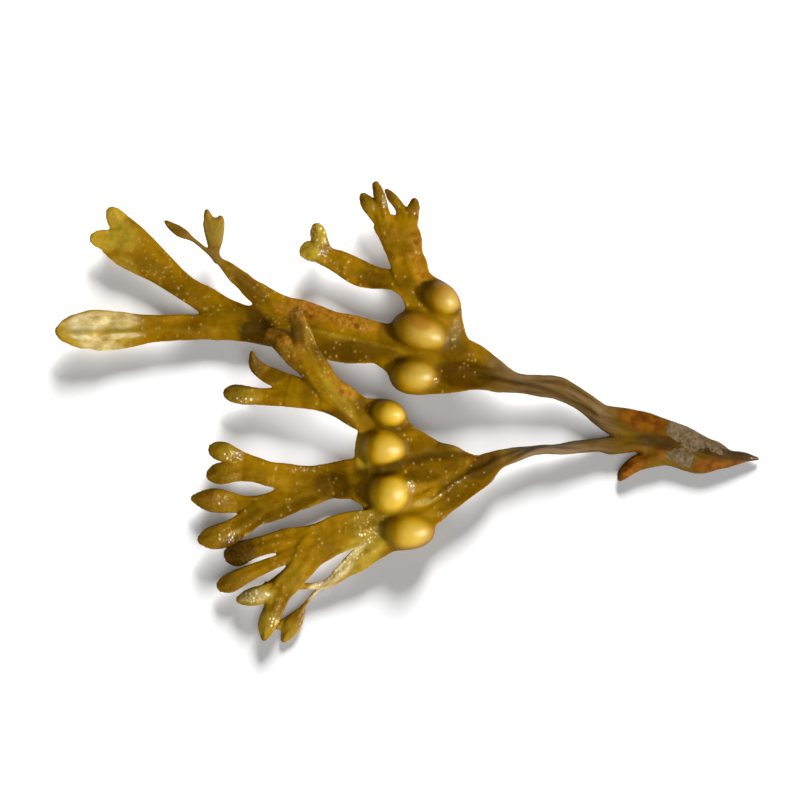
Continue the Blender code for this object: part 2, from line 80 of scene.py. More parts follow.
PORES_FADE = (30.0, 2.0)  # x between which the pores set in
STIPE_SKIN = (15.0, 27.0)  # x over which the blades' skin turns into the stipes'
BASE_SKIN = (40.0, 45.0)  # and this one into the base's
SEED = 20
BLADE_LEVEL = 4.0  # about where the blades lie under the bladders
TOWARDS_HIGHLIGHT = np.array((0.5, -0.18, 0.85))  # the way the bladders' side faces where the key lamp's highlight falls; a highlight is painted there
FLOOR_GAP = 0.02  # the frond's flats lie this far above the floor
FLOOR_SIZE = 4.0  # metres
FLOOR_LIFT = 0.11  # what the floor adds of its own before the camera, to show white
WORLD_LEVEL = 0.03
CAMERA_LENS, CAMERA_SENSOR = 225.0, 36.0
CAMERA_AT, CAMERA_SEES = (-0.00145, 0.0024, 1.004), (0.05, 20.0)
WHITE = (1.0, 1.0, 1.0, 1.0)
LEATHERY, FLESHY = 0.12, 0.35  # how much light goes through the skin of the stipes and the blades

# What the skin is like everywhere, and what the floor is like.
FLESH = {
    "Subsurface Radius": (1.0, 0.5, 0.08), "Subsurface Scale": 1.6 * MM,
    "Specular IOR Level": 0.12, "Coat Roughness": 0.28,
}
PAPER = {
    "Base Color": (0.8, 0.8, 0.8, 1.0), "Roughness": 0.9, "Specular IOR Level": 0.0,
    "Emission Color": WHITE,
}

# Spines in plan millimetres, from the base outwards. A station is (x, y, z, half width) and may
# end in a roll in degrees.
SPINES = {
    "upper axis": [
        (71.8, -11.8, 0.9, 0.3), (69, -11.5, 1.2, 1), (65.6, -11.75, 1.3, 1.85), (63, -11.2, 1.4, 3),
        (60, -10.95, 1.4, 3.85), (56, -9.3, 1.5, 4.3), (52, -7.75, 1.5, 4.15), (48, -6.1, 1.6, 3.95),
        (45, -4.8, 1.8, 3.25), (42.2, -3.9, 2, 2.75), (40, -2.8, 2.3, 2.2), (36, 0.1, 2.9, 2),
        (32, 2.25, 3.3, 2.3), (28, 2.85, 3.6, 2.2), (24, 3.25, 3.8, 1.9), (20.4, 4.15, 4, 2.8),
        (18, 5.3, 4, 3.55), (15, 6.4, 4.1, 4.65), (11, 7.2, 4.1, 5.95), (6, 8.3, 4, 7.4),
        (1.4, 9.6, 4, 7.4), (-1.2, 10.3, 4, 4.9), (-4, 11.35, 3.9, 4.2), (-7, 11.8, 3.8, 4.5),
        (-10, 12.2, 3.7, 4.9), (-14, 12.9, 3.5, 4.95), (-18, 14.2, 3.3, 5.2), (-21, 14.9, 3.2, 5.2),
        (-25, 15.1, 3, 4.6), (-29, 15.2, 2.8, 3.9), (-33, 14.9, 2.8, 3.1), (-37, 14.7, 2.8, 2.7),
        (-40.6, 14.6, 2.9, 2.6), (-46, 14.45, 3.1, 2.65), (-50, 14.25, 3.3, 2.85),
        (-54, 13.95, 3.5, 3.45), (-58, 13.9, 3.7, 4), (-61.5, 14, 4, 4), (-64.5, 13.9, 4.3, 3.4),
        (-67, 13.8, 4.8, 2.2), (-68.8, 13.8, 5.1, 0.6),
    ],
    "spur": [
        (55, -10.7, 1.6, 2), (51.5, -11.5, 1.6, 1.75), (47.9, -12.5, 1.6, 1.6), (45.7, -13.9, 1.5, 1.4),
        (44.5, -15.1, 1.4, 1), (44, -16.2, 1.3, 0.3),
    ],
    "notched fork": [
        (-28, 15.6, 2.9, 1.8), (-32, 16.8, 2.9, 2.4), (-35.5, 18.15, 2.9, 2.6),
        (-39.2, 20.2, 2.9, 2.75), (-42.9, 22.4, 3, 2.5), (-47.5, 25.95, 3.2, 3.15),
        (-51, 28.5, 3.4, 3.95), (-54.4, 31, 3.65, 4.5), (-56.9, 33, 3.8, 4.2),
    ],
    "notched lobe a": [
        (-47.2, 26.6, 3.1, 1.6), (-50.4, 29.4, 3.35, 2.3), (-53.4, 32.2, 3.6, 2.6),
        (-56.2, 35.6, 3.9, 2.2), (-57.6, 37.5, 4.2, 1.5), (-58.3, 38.5, 4.3, 0.5),
    ],
    "notched lobe b": [
        (-47.6, 25.2, 3.1, 1.6), (-51.4, 28.4, 3.4, 2.3), (-55, 31, 3.7, 2.6), (-58.9, 32, 4.1, 2.1),
        (-61, 32.3, 4.3, 1.5), (-62, 32.5, 4.4, 0.5),
    ],
    "thin shoot": [
        (-20, 18, 3.3, 2), (-24, 19.3, 3.4, 1.9), (-27.4, 20.7, 3.5, 2.3, -10),
        (-29.6, 22.1, 3.7, 2.15, -18), (-31, 23.4, 3.9, 1.95, -22), (-33, 25.1, 4.2, 1.7, -20),
        (-35, 26.9, 4.5, 1.1, -10), (-36.9, 28.3, 4.8, 0.5), (-40, 31, 5.2, 0.4),
        (-41.6, 32.2, 5.4, 0.5), (-43, 33.1, 5.5, 1), (-44.4, 33.9, 5.5, 1.1), (-46, 35, 5.5, 0.7),
        (-47.1, 35.9, 5.5, 0.2),
    ],
    "heart leaflet": [
        (-36.4, 27.8, 4.7, 0.7), (-37, 29.8, 5, 1.05), (-37, 32, 5.5, 1.7), (-37.1, 34.2, 6, 2),
        (-37.2, 35.6, 6.3, 2),
    ],
    "heart lobe a": [
        (-37.2, 31.4, 5.4, 0.8), (-37.7, 34.6, 6.1, 1.2), (-38.3, 36.6, 6.5, 0.95),
        (-38.6, 38, 6.7, 0.3),
    ],
    "heart lobe b": [
        (-36.9, 31.2, 5.4, 0.8), (-36.7, 34.2, 6.1, 1.2), (-36, 35.8, 6.4, 1), (-35.5, 36.8, 6.5, 0.3),
    ],
    "receptacle arm": [
        (4.6, 18.5, 4.2, 3.7), (2.4, 21.5, 4.2, 2.4), (-0.5, 23.6, 4.1, 2), (-3, 24.2, 3.8, 2.1),
        (-5.5, 24.55, 3.4, 2.4), (-8.4, 25.55, 3.2, 2.7), (-12, 27.5, 3.4, 2.4),
        (-14.5, 28.6, 3.8, 1.9), (-16, 29.4, 4.2, 1.6),
    ],
    "receptacle lobe a": [
        (-11.2, 27, 3.4, 1.4), (-14.6, 28.9, 4, 1.6), (-15.9, 31.6, 4.7, 1.6), (-16.5, 33.8, 5.1, 1.5),
        (-16.8, 35.3, 5.3, 0.7),
    ],
    "receptacle lobe b": [
        (-11, 26.8, 3.4, 1.4), (-14.8, 28.7, 4, 1.6), (-17.9, 29.8, 4.8, 1.95), (-19.2, 29.7, 5.1, 1.5),
        (-20.1, 29.7, 5.2, 0.7),
    ],
    "finger arm": [
        (12, 8.8, 4.1, 2.4), (8.9, 14.1, 4.2, 4.15), (7.3, 17.6, 4.2, 4.8), (5.2, 21.1, 4.2, 3.95),
        (3.1, 24, 4.3, 3.3), (2, 26.6, 4.4, 3.6), (1.2, 28.6, 4.4, 3.5), (0.6, 31, 4.5, 3.95),
        (-0.1, 33.4, 4.5, 4.1),
    ],
    "fingers left": [
        (0.8, 29, 4.4, 2), (-0.8, 32.4, 4.5, 2.6), (-2.5, 34.6, 4.5, 2.7), (-3.4, 36, 4.5, 2.4),
    ],
    "finger 1": [
        (-1.2, 32.4, 4.5, 1.3), (-3, 34.8, 4.5, 1.5), (-5.2, 37.5, 4.6, 1.45), (-6.5, 39.4, 4.8, 1.5),
        (-7.7, 41.2, 4.9, 0.6),
    ],
    "finger 2": [
        (-1.4, 32.4, 4.5, 1.2), (-2.8, 35.4, 4.6, 1.4), (-3.5, 38.6, 5, 1.15), (-4.2, 41, 5.4, 1.1),
        (-4.9, 43.2, 5.7, 0.7), (-5, 43.9, 5.7, 0.3),
    ],
    "fingers right": [
        (1, 29, 4.4, 2), (0.4, 32.6, 4.4, 2.5), (1.1, 34.8, 4.3, 2.3), (1.6, 37, 4.2, 2.1),
    ],
    "finger 3": [
        (0.9, 33, 4.4, 1.2), (1.2, 36.2, 4.2, 1.3), (-0.35, 38.9, 4.1, 1), (-1.7, 40.6, 4, 0.95),
        (-2.9, 42.2, 3.9, 0.3),
    ],
    "finger 4": [
        (1.2, 32.8, 4.3, 1.3), (2, 36, 4.1, 1.5), (2.75, 38.6, 3.7, 1.2), (2.9, 40.3, 3.4, 0.6),
    ],
    "lower axis": [
        (52, -9, 1.6, 2), (48, -8.6, 1.7, 1.7), (45, -8.9, 1.8, 1.7), (42.2, -9.1, 1.9, 1.8),
        (40, -9, 2.1, 1.4, 5), (36, -9.4, 2.5, 1.4, 30), (32, -9.9, 2.9, 1.5, 62),
        (29, -9.9, 3.2, 1.5, 80), (26, -10.3, 3.4, 1.5, 62), (23, -11, 3.6, 1.6, 28),
        (20, -11.8, 3.8, 1.9, 8), (18, -12.85, 3.9, 2.5), (16, -14.1, 4, 3.45),
        (12.5, -15.1, 4.1, 4.95), (9, -15.9, 4.2, 6.3), (5, -16.2, 4.2, 6.6), (1, -16.4, 4.2, 5.6),
        (-3, -16.2, 4.2, 4.4), (-6.5, -16.2, 4, 4.9), (-9.4, -15.8, 3.6, 4.15), (-12, -16, 2.9, 3.85),
        (-14.5, -16.3, 2.3, 3.6), (-18, -17.2, 2.1, 4), (-20.5, -17.7, 2.2, 4.5),
    ],
    "middle upper arm": [
        (-14.4, -15.9, 2.4, 1.8), (-18.5, -16.2, 2.1, 2.6), (-23, -15.2, 2.4, 2.6),
        (-26, -14.9, 2.8, 2.5), (-29, -14, 3, 2.4), (-31, -13.7, 3.1, 2.5),
    ],
    "middle tip 1": [
        (-25.6, -14.5, 2.7, 1.5), (-29.4, -13.2, 3, 1.8), (-33, -11.5, 3.4, 1.8),
        (-35.3, -10.4, 3.7, 1.95), (-37.2, -10, 3.9, 1.6), (-38.4, -9.9, 4, 0.6),
    ],
    "middle tip 2": [
        (-25.6, -14.9, 2.7, 1.5), (-29.6, -14.2, 3, 1.8), (-33, -14.6, 2.9, 1.75),
        (-35.6, -14.65, 2.8, 2.15), (-37.4, -14.95, 2.7, 1.8), (-38.7, -15.15, 2.6, 0.7),
    ],
    "middle lower arm": [
        (-14.4, -17, 2.4, 1.8), (-18.5, -18.4, 2.1, 2.6), (-23, -20.3, 2.4, 3), (-26, -21.5, 2.7, 2.9),
        (-28.4, -22.3, 2.8, 2.7),
    ],
    "middle tip 3": [
        (-23.2, -20.6, 2.4, 1.8), (-27, -21, 2.7, 2), (-31, -20.9, 2.7, 1.8), (-34, -20.5, 2.8, 2.1),
        (-37.4, -20.1, 3, 2.4), (-40, -19.8, 3.1, 1.6), (-41.8, -19.6, 3.1, 0.5),
    ],
    "middle tip 4": [
        (-23.2, -20.9, 2.4, 1.8), (-27, -22, 2.7, 2), (-31, -24.6, 3.2, 2.25),
        (-33.4, -26.1, 3.6, 2.35), (-36, -27.25, 3.9, 2.5), (-38.4, -27.7, 4.1, 2.05),
        (-40.4, -28.1, 4.1, 0.6),
    ],
    "bottom axis": [
        (13.4, -15.9, 4.1, 1.7), (9.2, -19.5, 4.2, 2.8), (5.7, -22, 4.2, 3.4), (1.6, -24.2, 4.3, 3.9),
        (-2.5, -25.2, 4.4, 4.1), (-6.5, -25.8, 4.5, 3.9), (-9.6, -26, 4.6, 3.8), (-13, -27, 4.6, 3.8),
        (-15.8, -28.6, 4.6, 3.8), (-19, -30.4, 4.6, 3.8),
    ],
    "bottom tip 1": [
        (-12.4, -26.6, 4.6, 2), (-16.5, -27.2, 4.6, 2.4), (-20, -27.7, 4.6, 2.4),
        (-23, -28.1, 4.45, 2.45), (-26, -28.7, 3.9, 2.05), (-30, -29.9, 2.8, 2.05),
        (-32.6, -30.8, 2.1, 2.5), (-34.2, -31.2, 1.8, 1.9), (-35.4, -31.4, 1.7, 0.7),
    ],
    "bottom tip 2": [
        (-14.2, -28, 4.6, 1.6), (-18, -30, 4.6, 2), (-22, -31.4, 4.5, 1.3), (-25, -32.4, 4.3, 1.3),
        (-28, -33.7, 4, 1.5), (-31.2, -35.1, 3.6, 1.7), (-34, -36.6, 3.2, 1.95), (-35.6, -37.2, 3, 1.5),
        (-36.7, -37.7, 2.8, 0.6),
    ],
    "bottom lower arm": [
        (-13.4, -27.4, 4.6, 2), (-17, -29.4, 4.6, 2.8), (-19, -32.8, 4.6, 2.5), (-20.8, -35, 4.5, 2.3),
        (-22.6, -36.9, 4.4, 2.4), (-23.9, -38, 4.3, 2.2),
    ],
    "bottom tip 3": [
        (-20.6, -34.6, 4.5, 1.4), (-23.2, -37.4, 4.3, 1.7), (-27, -38.7, 3.9, 1.85),
        (-30, -39.5, 3.4, 1.75), (-31.8, -39.9, 3.1, 1.1), (-32.8, -40.1, 2.9, 0.5),
    ],
    "bottom tip 4": [
        (-20.4, -34, 4.5, 1.5), (-23, -37, 4.3, 1.9), (-24.4, -40.3, 4.1, 1.9), (-25.6, -42.6, 3.8, 2),
        (-26.6, -45, 3.4, 1.8), (-27, -46.8, 3, 1.2), (-27.3, -48.1, 2.8, 0.4),
    ],
    "bottom small finger": [(-22, -33.8, 4.4, 0.6), (-25.2, -36, 3.6, 0.45), (-27.3, -37.3, 3.2, 0.3)],
    "lower wing": [
        (13.4, -11.6, 4.4, 0.8), (11.6, -10.5, 4.8, 1), (9.6, -9.75, 4.9, 1), (7.6, -9.6, 4.6, 0.8),
    ],
    "lower web": [
        (-5.6, -5, 4.4, 2.3), (-6.5, -9.4, 4.2, 2.6, 8), (-6.3, -13, 4.1, 2.7, 10),
        (-6.2, -16, 4.1, 2.5, 12), (-5.2, -20.8, 4.1, 2.4, 8), (-5, -24, 4.2, 2.1),
    ],
    "crossing axis": [
        (11.5, -12.8, 4.2, 2.4), (8, -11.6, 4.3, 2.8), (3.4, -9.4, 4.4, 3.2), (0.1, -6.7, 4.5, 2.9),
        (-2.5, -4.2, 4.6, 3.55), (-5.5, -3.3, 4.8, 3.6), (-7.9, -2.7, 5, 3.3), (-10.3, -1.2, 5.2, 3.35),
        (-12.4, 0.3, 5.4, 3.5, -4), (-14.6, 1.6, 5.5, 3.2, -7),
    ],
    "crossing finger": [
        (-10, -1.4, 5.2, 1.6), (-13.2, 1.3, 5.75, 2.1, -4), (-15.4, 4.2, 6.4, 2.2, -6),
        (-17, 6.9, 7.1, 2.1, -6), (-18.2, 10, 8, 1.95, -3), (-19.4, 13, 9, 1.95),
        (-20.3, 15.6, 9.7, 1.6), (-20.8, 17.9, 10.2, 1.3),
    ],
    "short finger": [
        (-10.8, -0.6, 5.2, 1.6), (-14.4, 2.8, 5.85, 2.4, -10), (-17.5, 6.3, 6.65, 2.7, -13),
        (-20.3, 9.1, 7.55, 2.95, -9), (-22.9, 11.4, 7.95, 2.5, -4), (-25, 12.6, 7.3, 1.9),
        (-26.9, 13.3, 6.8, 1.2),
    ],
    "crossing sheet": [
        (-11, -0.6, 5.2, 1.6), (-14.3, 3, 5.95, 2.3, -9), (-17.1, 6.6, 6.85, 2.9, -11),
        (-19, 9.3, 7.6, 2.5, -9), (-20.7, 11.9, 8.2, 1.2),
    ],
    "crossing lower arm": [
        (-9.6, -1.8, 5.1, 2.2), (-13, 0.1, 5.4, 3.1, -7), (-17, 0.85, 5.25, 2.9, -14),
        (-20, 1.35, 4.8, 2.95, -11), (-22.4, 1.9, 4.5, 3, -4),
    ],
    "crossing tip 1": [
        (-16.4, 1.2, 5, 1.6), (-20.6, 2.8, 4.6, 1.7), (-24.6, 4.3, 4.4, 1.8), (-27.2, 5.5, 4.4, 1.6),
        (-28.9, 7, 4.6, 1.3), (-29.4, 8.4, 4.9, 0.8), (-29.6, 9.9, 5.2, 0.3),
    ],
    "crossing tip 2": [
        (-16.6, 0.6, 5, 1.8), (-20.8, 0.7, 4.5, 2), (-25, 0.6, 4.1, 1.85), (-28.4, 0.7, 3.9, 1.7),
        (-31, 0.95, 3.7, 1.85), (-33, 1.25, 3.5, 1.85), (-34.4, 1.4, 3.4, 1.4), (-35.3, 1.4, 3.3, 0.6),
    ],
    "strap": [
        (4.4, -24.6, 4.1, 1.6), (1, -26.6, 4.1, 2.2), (-3, -28.4, 4.15, 2.5, -3),
        (-6.1, -30.3, 4, 2.5, -5), (-8.6, -32.25, 3.75, 2.3, -8), (-10.9, -33.85, 3.4, 1.7, -8),
        (-13.4, -36, 2.9, 1.15, -8), (-15.6, -37.4, 2.4, 0.5), (-17, -38.5, 1.7, 0.4),
        (-19.2, -41.2, 1.3, 0.4), (-20, -42.6, 1.2, 1), (-21.2, -44.4, 1.1, 1.6),
        (-22.2, -46.2, 1, 1.5), (-23, -47.6, 0.9, 1), (-23.6, -48.6, 0.9, 0.3),
    ],
    "strand bridge": [(-14.4, -36.8, 2.5, 0.7), (-17.4, -37.3, 3, 0.7), (-21.6, -37, 4.2, 0.7)],
    "strand lobe": [(-21.2, -44, 1.1, 1), (-23.6, -44.9, 1.1, 0.85), (-24.8, -45.9, 1.1, 0.4)],
}

UPPER_SPINES = 19  # the first spines in the table make the upper branch and the base
TRUNK = "upper axis"  # the spine that grows out of no other

# Half the thickness at the midrib, by x: blades, then stipes, then the base.
MIDRIB = ((-70, 0.42), (-20, 0.48), (10, 0.6), (24, 0.95), (40, 1.1), (50, 1.4), (62, 1.5), (72, 0.7))
LENS = ((-70, 0), (14, 0), (24, 0.65), (72, 0.8))  # 0: flat with a midrib, 1: a full lens

# Swollen ends: extra half thickness, length of the swollen stretch.
SWELLING = {
    "receptacle lobe a": (0.8, 6), "receptacle lobe b": (0.9, 5.5), "finger 1": (0.5, 4.5),
    "finger 2": (0.45, 5), "finger 3": (0.35, 4), "finger 4": (0.3, 3), "middle tip 1": (0.75, 7),
    "middle tip 2": (0.75, 7), "middle tip 3": (0.85, 9), "middle tip 4": (0.8, 8.5),
    "bottom tip 1": (0.6, 7.5), "bottom tip 2": (0.65, 8.5), "bottom tip 3": (0.6, 7.5),
    "bottom tip 4": (0.7, 9), "crossing finger": (0.25, 7), "short finger": (0.3, 7),
    "crossing tip 1": (0.2, 5), "crossing tip 2": (0.65, 7.5), "strap": (0.5, 7),
}

# Ribbons that end where others carry on; they thin out there.
FORKING = {
    "notched fork", "heart leaflet", "receptacle arm", "finger arm", "fingers left",
    "fingers right", "lower axis", "middle upper arm", "middle lower arm", "bottom axis",
    "bottom lower arm", "crossing axis", "crossing sheet", "crossing lower arm", "lower web",
    "lower wing",
}

# Margins bent up, in mm: (x, lift of the left-hand margin seen along the growth, of the other).
CUPPED = {
    "upper axis": (
        (-60, 0, 0.2), (-40, 0.1, 0.1), (-26, 0.3, 0.2), (-8, 0.6, 0), (0, 0.3, 0), (8, 1, 0.2),
        (16, 1.3, 0.4), (24, 0.3, 0.1), (30, 0, 0),
    ),
    "lower axis": ((-20, 0.3, 0), (-8, 0, 0), (4, 0.4, 0.2), (14, 0.9, 0.3), (20, 0.2, 0)),
    "middle lower arm": ((-29, 0.6, 0), (-19, 0.3, 0)),
    "middle tip 4": ((-34, 0.2, 0), (-27, 0.6, 0)),
    "bottom axis": ((-18, 0.2, 0.3), (-6, 0.5, 0.2), (8, 0.3, 0.1)),
    "receptacle arm": ((-14, 0.2, 0), (-4, 0.6, 0.2), (4, 0.3, 0)),
}

# Air bladders: centre, length ahead of it and behind it, half width, half height and the azimuth
# of the long axis.
BLADDERS = (
    ((8.2, 20.4, 4.3), (4.1, 3.7, 3, 3.3), -40), ((3.4, 13.85, 3.8), (6.4, 5.2, 3.8, 4), -22),
    ((2.5, 5, 3.6), (5.2, 4.5, 3.7, 3.8), -3), ((-2.4, -2.55, 4.9), (3.5, 3.1, 2.5, 2.9), -15),
    ((-3.9, -9.6, 3.8), (5.3, 3.7, 3.8, 4), -10), ((-2.4, -18.6, 3.9), (4.4, 4, 4.2, 4.1), 0),
    ((1.1, -26.3, 3.8), (5.8, 4.2, 3.7, 4), 0),
)

# How round the ends are, where not as usual.
ROUNDED = 0.8
TIP_RADIUS = {
    "upper axis": 2.4, "notched lobe a": 1.7, "notched lobe b": 1.6, "thin shoot": 0.1,
    "heart lobe a": 0.5, "heart lobe b": 0.5, "crossing tip 1": 0.4, "spur": 0.3,
    "receptacle lobe a": 1.1, "receptacle lobe b": 1.3, "finger 3": 0.6, "crossing finger": 1.3,
    "short finger": 1.2,
}
TRIM = 0.22  # cut off a spine's end, because the rounded margin adds as much again

BASE_START = 42.2  # x where the base ends and the stipes start
BLADE_START = {"upper": 20.4, "lower": 20.0}  # x where each stipe turns into its blade


def smoothstep(low, high, values):
    share = np.clip((values - low) / (high - low), 0.0, 1.0)
    return share * share * (3 - 2 * share)


def by_x(table, x):
    return np.interp(x, [row[0] for row in table], [row[1] for row in table])


def unit(vectors):
    return vectors / np.maximum(np.linalg.norm(vectors, axis=-1, keepdims=True), 1e-9)


def distances_along(points):
    steps = np.linalg.norm(np.diff(points, axis=0), axis=1)
    return np.concatenate(([0.0], np.cumsum(steps)))


# Spines and their ribbons


def smooth_curve(stations):
    """Catmull-Rom samples (x, y, z, half width, roll) every STEP or so along the stations."""
    rows = np.array([(*s, 0.0)[:5] for s in stations])
    padded = np.vstack((rows[:1], rows, rows[-1:]))
    parts = []
    for i in range(len(rows) - 1):
        a, b, c, d = padded[i : i + 4]
        count = max(1, round(float(np.linalg.norm(c[:3] - b[:3])) / STEP))
        t = (np.arange(count) / count)[:, None]
        bend = (2 * a - 5 * b + 4 * c - d) * t**2 + (3 * b - a - 3 * c + d) * t**3
        parts.append(0.5 * (2 * b + (c - a) * t + bend))
    return np.vstack((*parts, rows[-1:]))


def ribbon(name, stations, rng):
    """Samples, frames and section sizes along one spine, as a dict of arrays."""
    curve = smooth_curve(stations)
    travelled = distances_along(curve[:, :3])
    kept = travelled < travelled[-1] - TRIM
    curve, travelled = curve[kept], travelled[kept]
    points, width = curve[:, :3], curve[:, 3]
    x = points[:, 0]
    along = unit(np.gradient(points, axis=0))
    level = unit(np.cross((0.0, 0.0, 1.0), along))
    roll = np.radians(curve[:, 4])[:, None]
    across = level * np.cos(roll) + np.cross(along, level) * np.sin(roll)
    left = travelled[-1] - travelled
    cap = TIP_RADIUS.get(name, ROUNDED)
    reach = np.clip(left + 0.5 * EDGE, 0.0, cap)
    width = np.maximum(width, np.sqrt(2 * cap * reach - reach**2) * (left < cap))
    width = np.maximum(width, THREAD)
    midrib, lens, swollen = by_x(MIDRIB, x), by_x(LENS, x), np.zeros(len(x))
    if name in SWELLING:
        extra, length = SWELLING[name]
        share = np.clip(left / length, 0.0, 1.0)
        swollen = np.sin(np.pi * share) ** 1.1
        midrib = midrib + extra * swollen
        lens = np.maximum(lens, swollen)
        swollen = smoothstep(1.0, 0.7, share)
    grown = np.ones(len(x)) if name == TRUNK else smoothstep(0.0, GROWN_OVER, travelled)
    if name in FORKING:
        grown = grown * smoothstep(0.0, THINNED_OVER, left)
    midrib = ROOTED + (midrib - ROOTED) * grown
    midrib = np.minimum(midrib, np.maximum(width * 0.9, 0.25))
    edge = np.minimum(np.minimum(EDGE + LENS_EDGE * lens * (1 - swollen), midrib), width)
    knots = np.arange(0.0, travelled[-1] + 2 * WAVE, WAVE)
    calm = smoothstep(1.2, 3.0, width) * grown
    bent = np.array(CUPPED.get(name, ((0.0, 0.0, 0.0),)))
    lift = [
        np.interp(travelled, knots, rng.normal(0.0, WAVINESS, len(knots))) * calm
        + np.interp(x, bent[:, 0], bent[:, side]) * grown
        for side in (1, 2)
    ]
    sizes = np.stack((width, edge, midrib, lens, *lift), axis=1)
    return dict(
        points=points, along=along, across=across, up=np.cross(along, across),
        travelled=travelled, width=width, sizes=sizes, swollen=swollen,
    )


def ridge(lateral, width):
    """1 on the midrib of a ribbon, falling to 0 beside it."""
    return np.exp(-((lateral / (0.16 * width + 0.3)) ** 2))


def section_distance(lateral, height, beyond, sizes):
    """Signed distance to a ribbon, from its section's sizes at the nearest place on the spine."""
    width, edge, midrib, lens, lift_a, lift_b = sizes
    share = np.minimum(np.abs(lateral) / width, 1.0)
    height = height - np.where(lateral > 0, lift_a, lift_b) * share**2
    bulge = ridge(lateral, width) * (1 - lens) + np.sqrt(1 - share**2) * lens
    outward = np.maximum(np.abs(lateral) - (width - edge), 0.0)
    return np.sqrt(outward**2 + height**2 + beyond**2) - (edge + (midrib - edge) * bulge)


# The distance field and its surface


class Field:
    """Distances to the nearest surface, in millimetres, on a grid of VOXEL steps."""

    def __init__(self, low, high):
        self.low = np.array(low, float)
        self.shape = tuple(np.ceil((np.array(high) - low) / VOXEL).astype(int) + 1)
        self.values = np.full(self.shape, REACH + 1.0, np.float32)

    def window(self, low, high):
        first = np.maximum(np.floor((low - self.low) / VOXEL).astype(int), 0)
        last = np.minimum(np.ceil((high - self.low) / VOXEL).astype(int) + 1, self.shape)
        return tuple(slice(a, b) for a, b in zip(first, last))

    def grid(self, window):
        axes = [
            (self.low[i] + VOXEL * np.arange(w.start, w.stop)).astype(np.float32)
            for i, w in enumerate(window)
        ]
        return np.meshgrid(*axes, indexing="ij", sparse=True)

    def melt_in(self, window, distance, melt):
        """Smooth union of what is there with another form's distances."""
        here = self.values[window]
        near = np.maximum(melt - np.abs(here - distance), 0.0)
        self.values[window] = np.minimum(here, distance) - near * near * (0.25 / melt)


def add_ribbon(field, r):
    points, width, thick = r["points"], r["width"], r["sizes"][:, 2]
    margin = width.max() + thick.max() + REACH
    own = field.window(points.min(0) - margin, points.max(0) + margin)
    distance = np.full([w.stop - w.start for w in own], REACH + 1.0, np.float32)
    for i in range(len(points) - 1):
        pair = slice(i, i + 2)
        middle = (points[i] + points[i + 1]) / 2
        length = float(np.linalg.norm(points[i + 1] - points[i]))
        axes = [unit(r[k][i] + r[k][i + 1]) for k in ("along", "across", "up")]
        halves = (length / 2 + REACH * 0.6, width[pair].max() + REACH, thick[pair].max() + REACH)
        half = sum(np.abs(axis) * size for axis, size in zip(axes, halves))
        window = field.window(middle - half, middle + half)
        x, y, z = (values - at for values, at in zip(field.grid(window), middle))
        a, l, h = (x * v[0] + y * v[1] + z * v[2] for v in axes)
        share = np.clip(a / length + 0.5, 0.0, 1.0)
        sizes = [s0 + (s1 - s0) * share for s0, s1 in zip(*r["sizes"][pair])]
        d = section_distance(l, h, np.maximum(np.abs(a) - length / 2, 0.0), sizes)
        inner = tuple(slice(w.start - o.start, w.stop - o.start) for w, o in zip(window, own))
        target = distance[inner]
        np.minimum(target, d[tuple(slice(0, n) for n in target.shape)], out=target)
    field.melt_in(own, distance, MELT)


def bladder_distance(x, y, z, bladder):
    """Approximate signed distance to an air bladder."""
    centre, (ahead, behind, wide, high), azimuth = bladder
    turn = math.radians(azimuth)
    x, y, z = x - centre[0], y - centre[1], z - centre[2]
    a = x * math.cos(turn) + y * math.sin(turn)
    long = np.where(a > 0, ahead, behind)
    a, b, c = a / long, (y * math.cos(turn) - x * math.sin(turn)) / wide, z / high
    reach = np.sqrt(a * a + b * b + c * c) + 1e-6
    slope = np.sqrt((a / long) ** 2 + (b / wide) ** 2 + (c / high) ** 2) + 1e-6
    return reach * (reach - 1.0) / slope


def add_bladder(field, bladder):
    centre, halves, _ = bladder
    size = max(halves) + REACH + BLADDER_MELT
    window = field.window(np.array(centre) - size, np.array(centre) + size)
    distance = bladder_distance(*field.grid(window), bladder).astype(np.float32)
    field.melt_in(window, distance, BLADDER_MELT)


CORNERS = np.array(list(product((0, 1), repeat=3)))
CELL_EDGES = [(a, b) for a in range(8) for b in range(a) if abs(CORNERS[a] - CORNERS[b]).sum() == 1]


def meshed(field):
    """Surface nets: one vertex in each cell that the surface crosses, and quads between them."""
    inside = field.values < 0
    counts = np.zeros([n - 1 for n in field.shape], np.uint8)
    for corner in CORNERS:
        counts += inside[tuple(slice(c, c + n) for c, n in zip(corner, counts.shape))]
    cells = np.argwhere((counts > 0) & (counts < 8))
    index = np.full(counts.shape, -1, np.int32)
    index[tuple(cells.T)] = np.arange(len(cells))
    at_corners = [field.values[tuple((cells + corner).T)] for corner in CORNERS]
    total = np.zeros((len(cells), 3))
    crossings = np.zeros((len(cells), 1))
    for a, b in CELL_EDGES:
        va, vb = at_corners[a], at_corners[b]
        crosses = (va < 0) != (vb < 0)
        share = np.where(crosses, va / np.where(crosses, va - vb, 1.0), 0.0)[:, None]
        total += np.where(crosses[:, None], CORNERS[a] + share * (CORNERS[b] - CORNERS[a]), 0.0)
        crossings += crosses[:, None]
    quads = []
    for axis in range(3):
        u, v = (axis + 1) % 3, (axis + 2) % 3
        ahead, behind = [slice(None)] * 3, [slice(None)] * 3
        ahead[axis], behind[axis] = slice(1, None), slice(None, -1)
        first, second = inside[tuple(behind)], inside[tuple(ahead)]
        at = np.argwhere(first != second)
        at = at[(at[:, u] > 0) & (at[:, v] > 0)]
        du, dv = np.eye(3, dtype=int)[[u, v]]
        steps = (du + dv, dv, 0 * du, du)
        quad = np.stack([index[tuple((at - step).T)] for step in steps], axis=1)
        turned = ~first[tuple(at.T)]
        quad[turned] = quad[turned][:, ::-1]
        quads.append(quad)
    return field.low + VOXEL * (cells + total / crossings), np.vstack(quads)


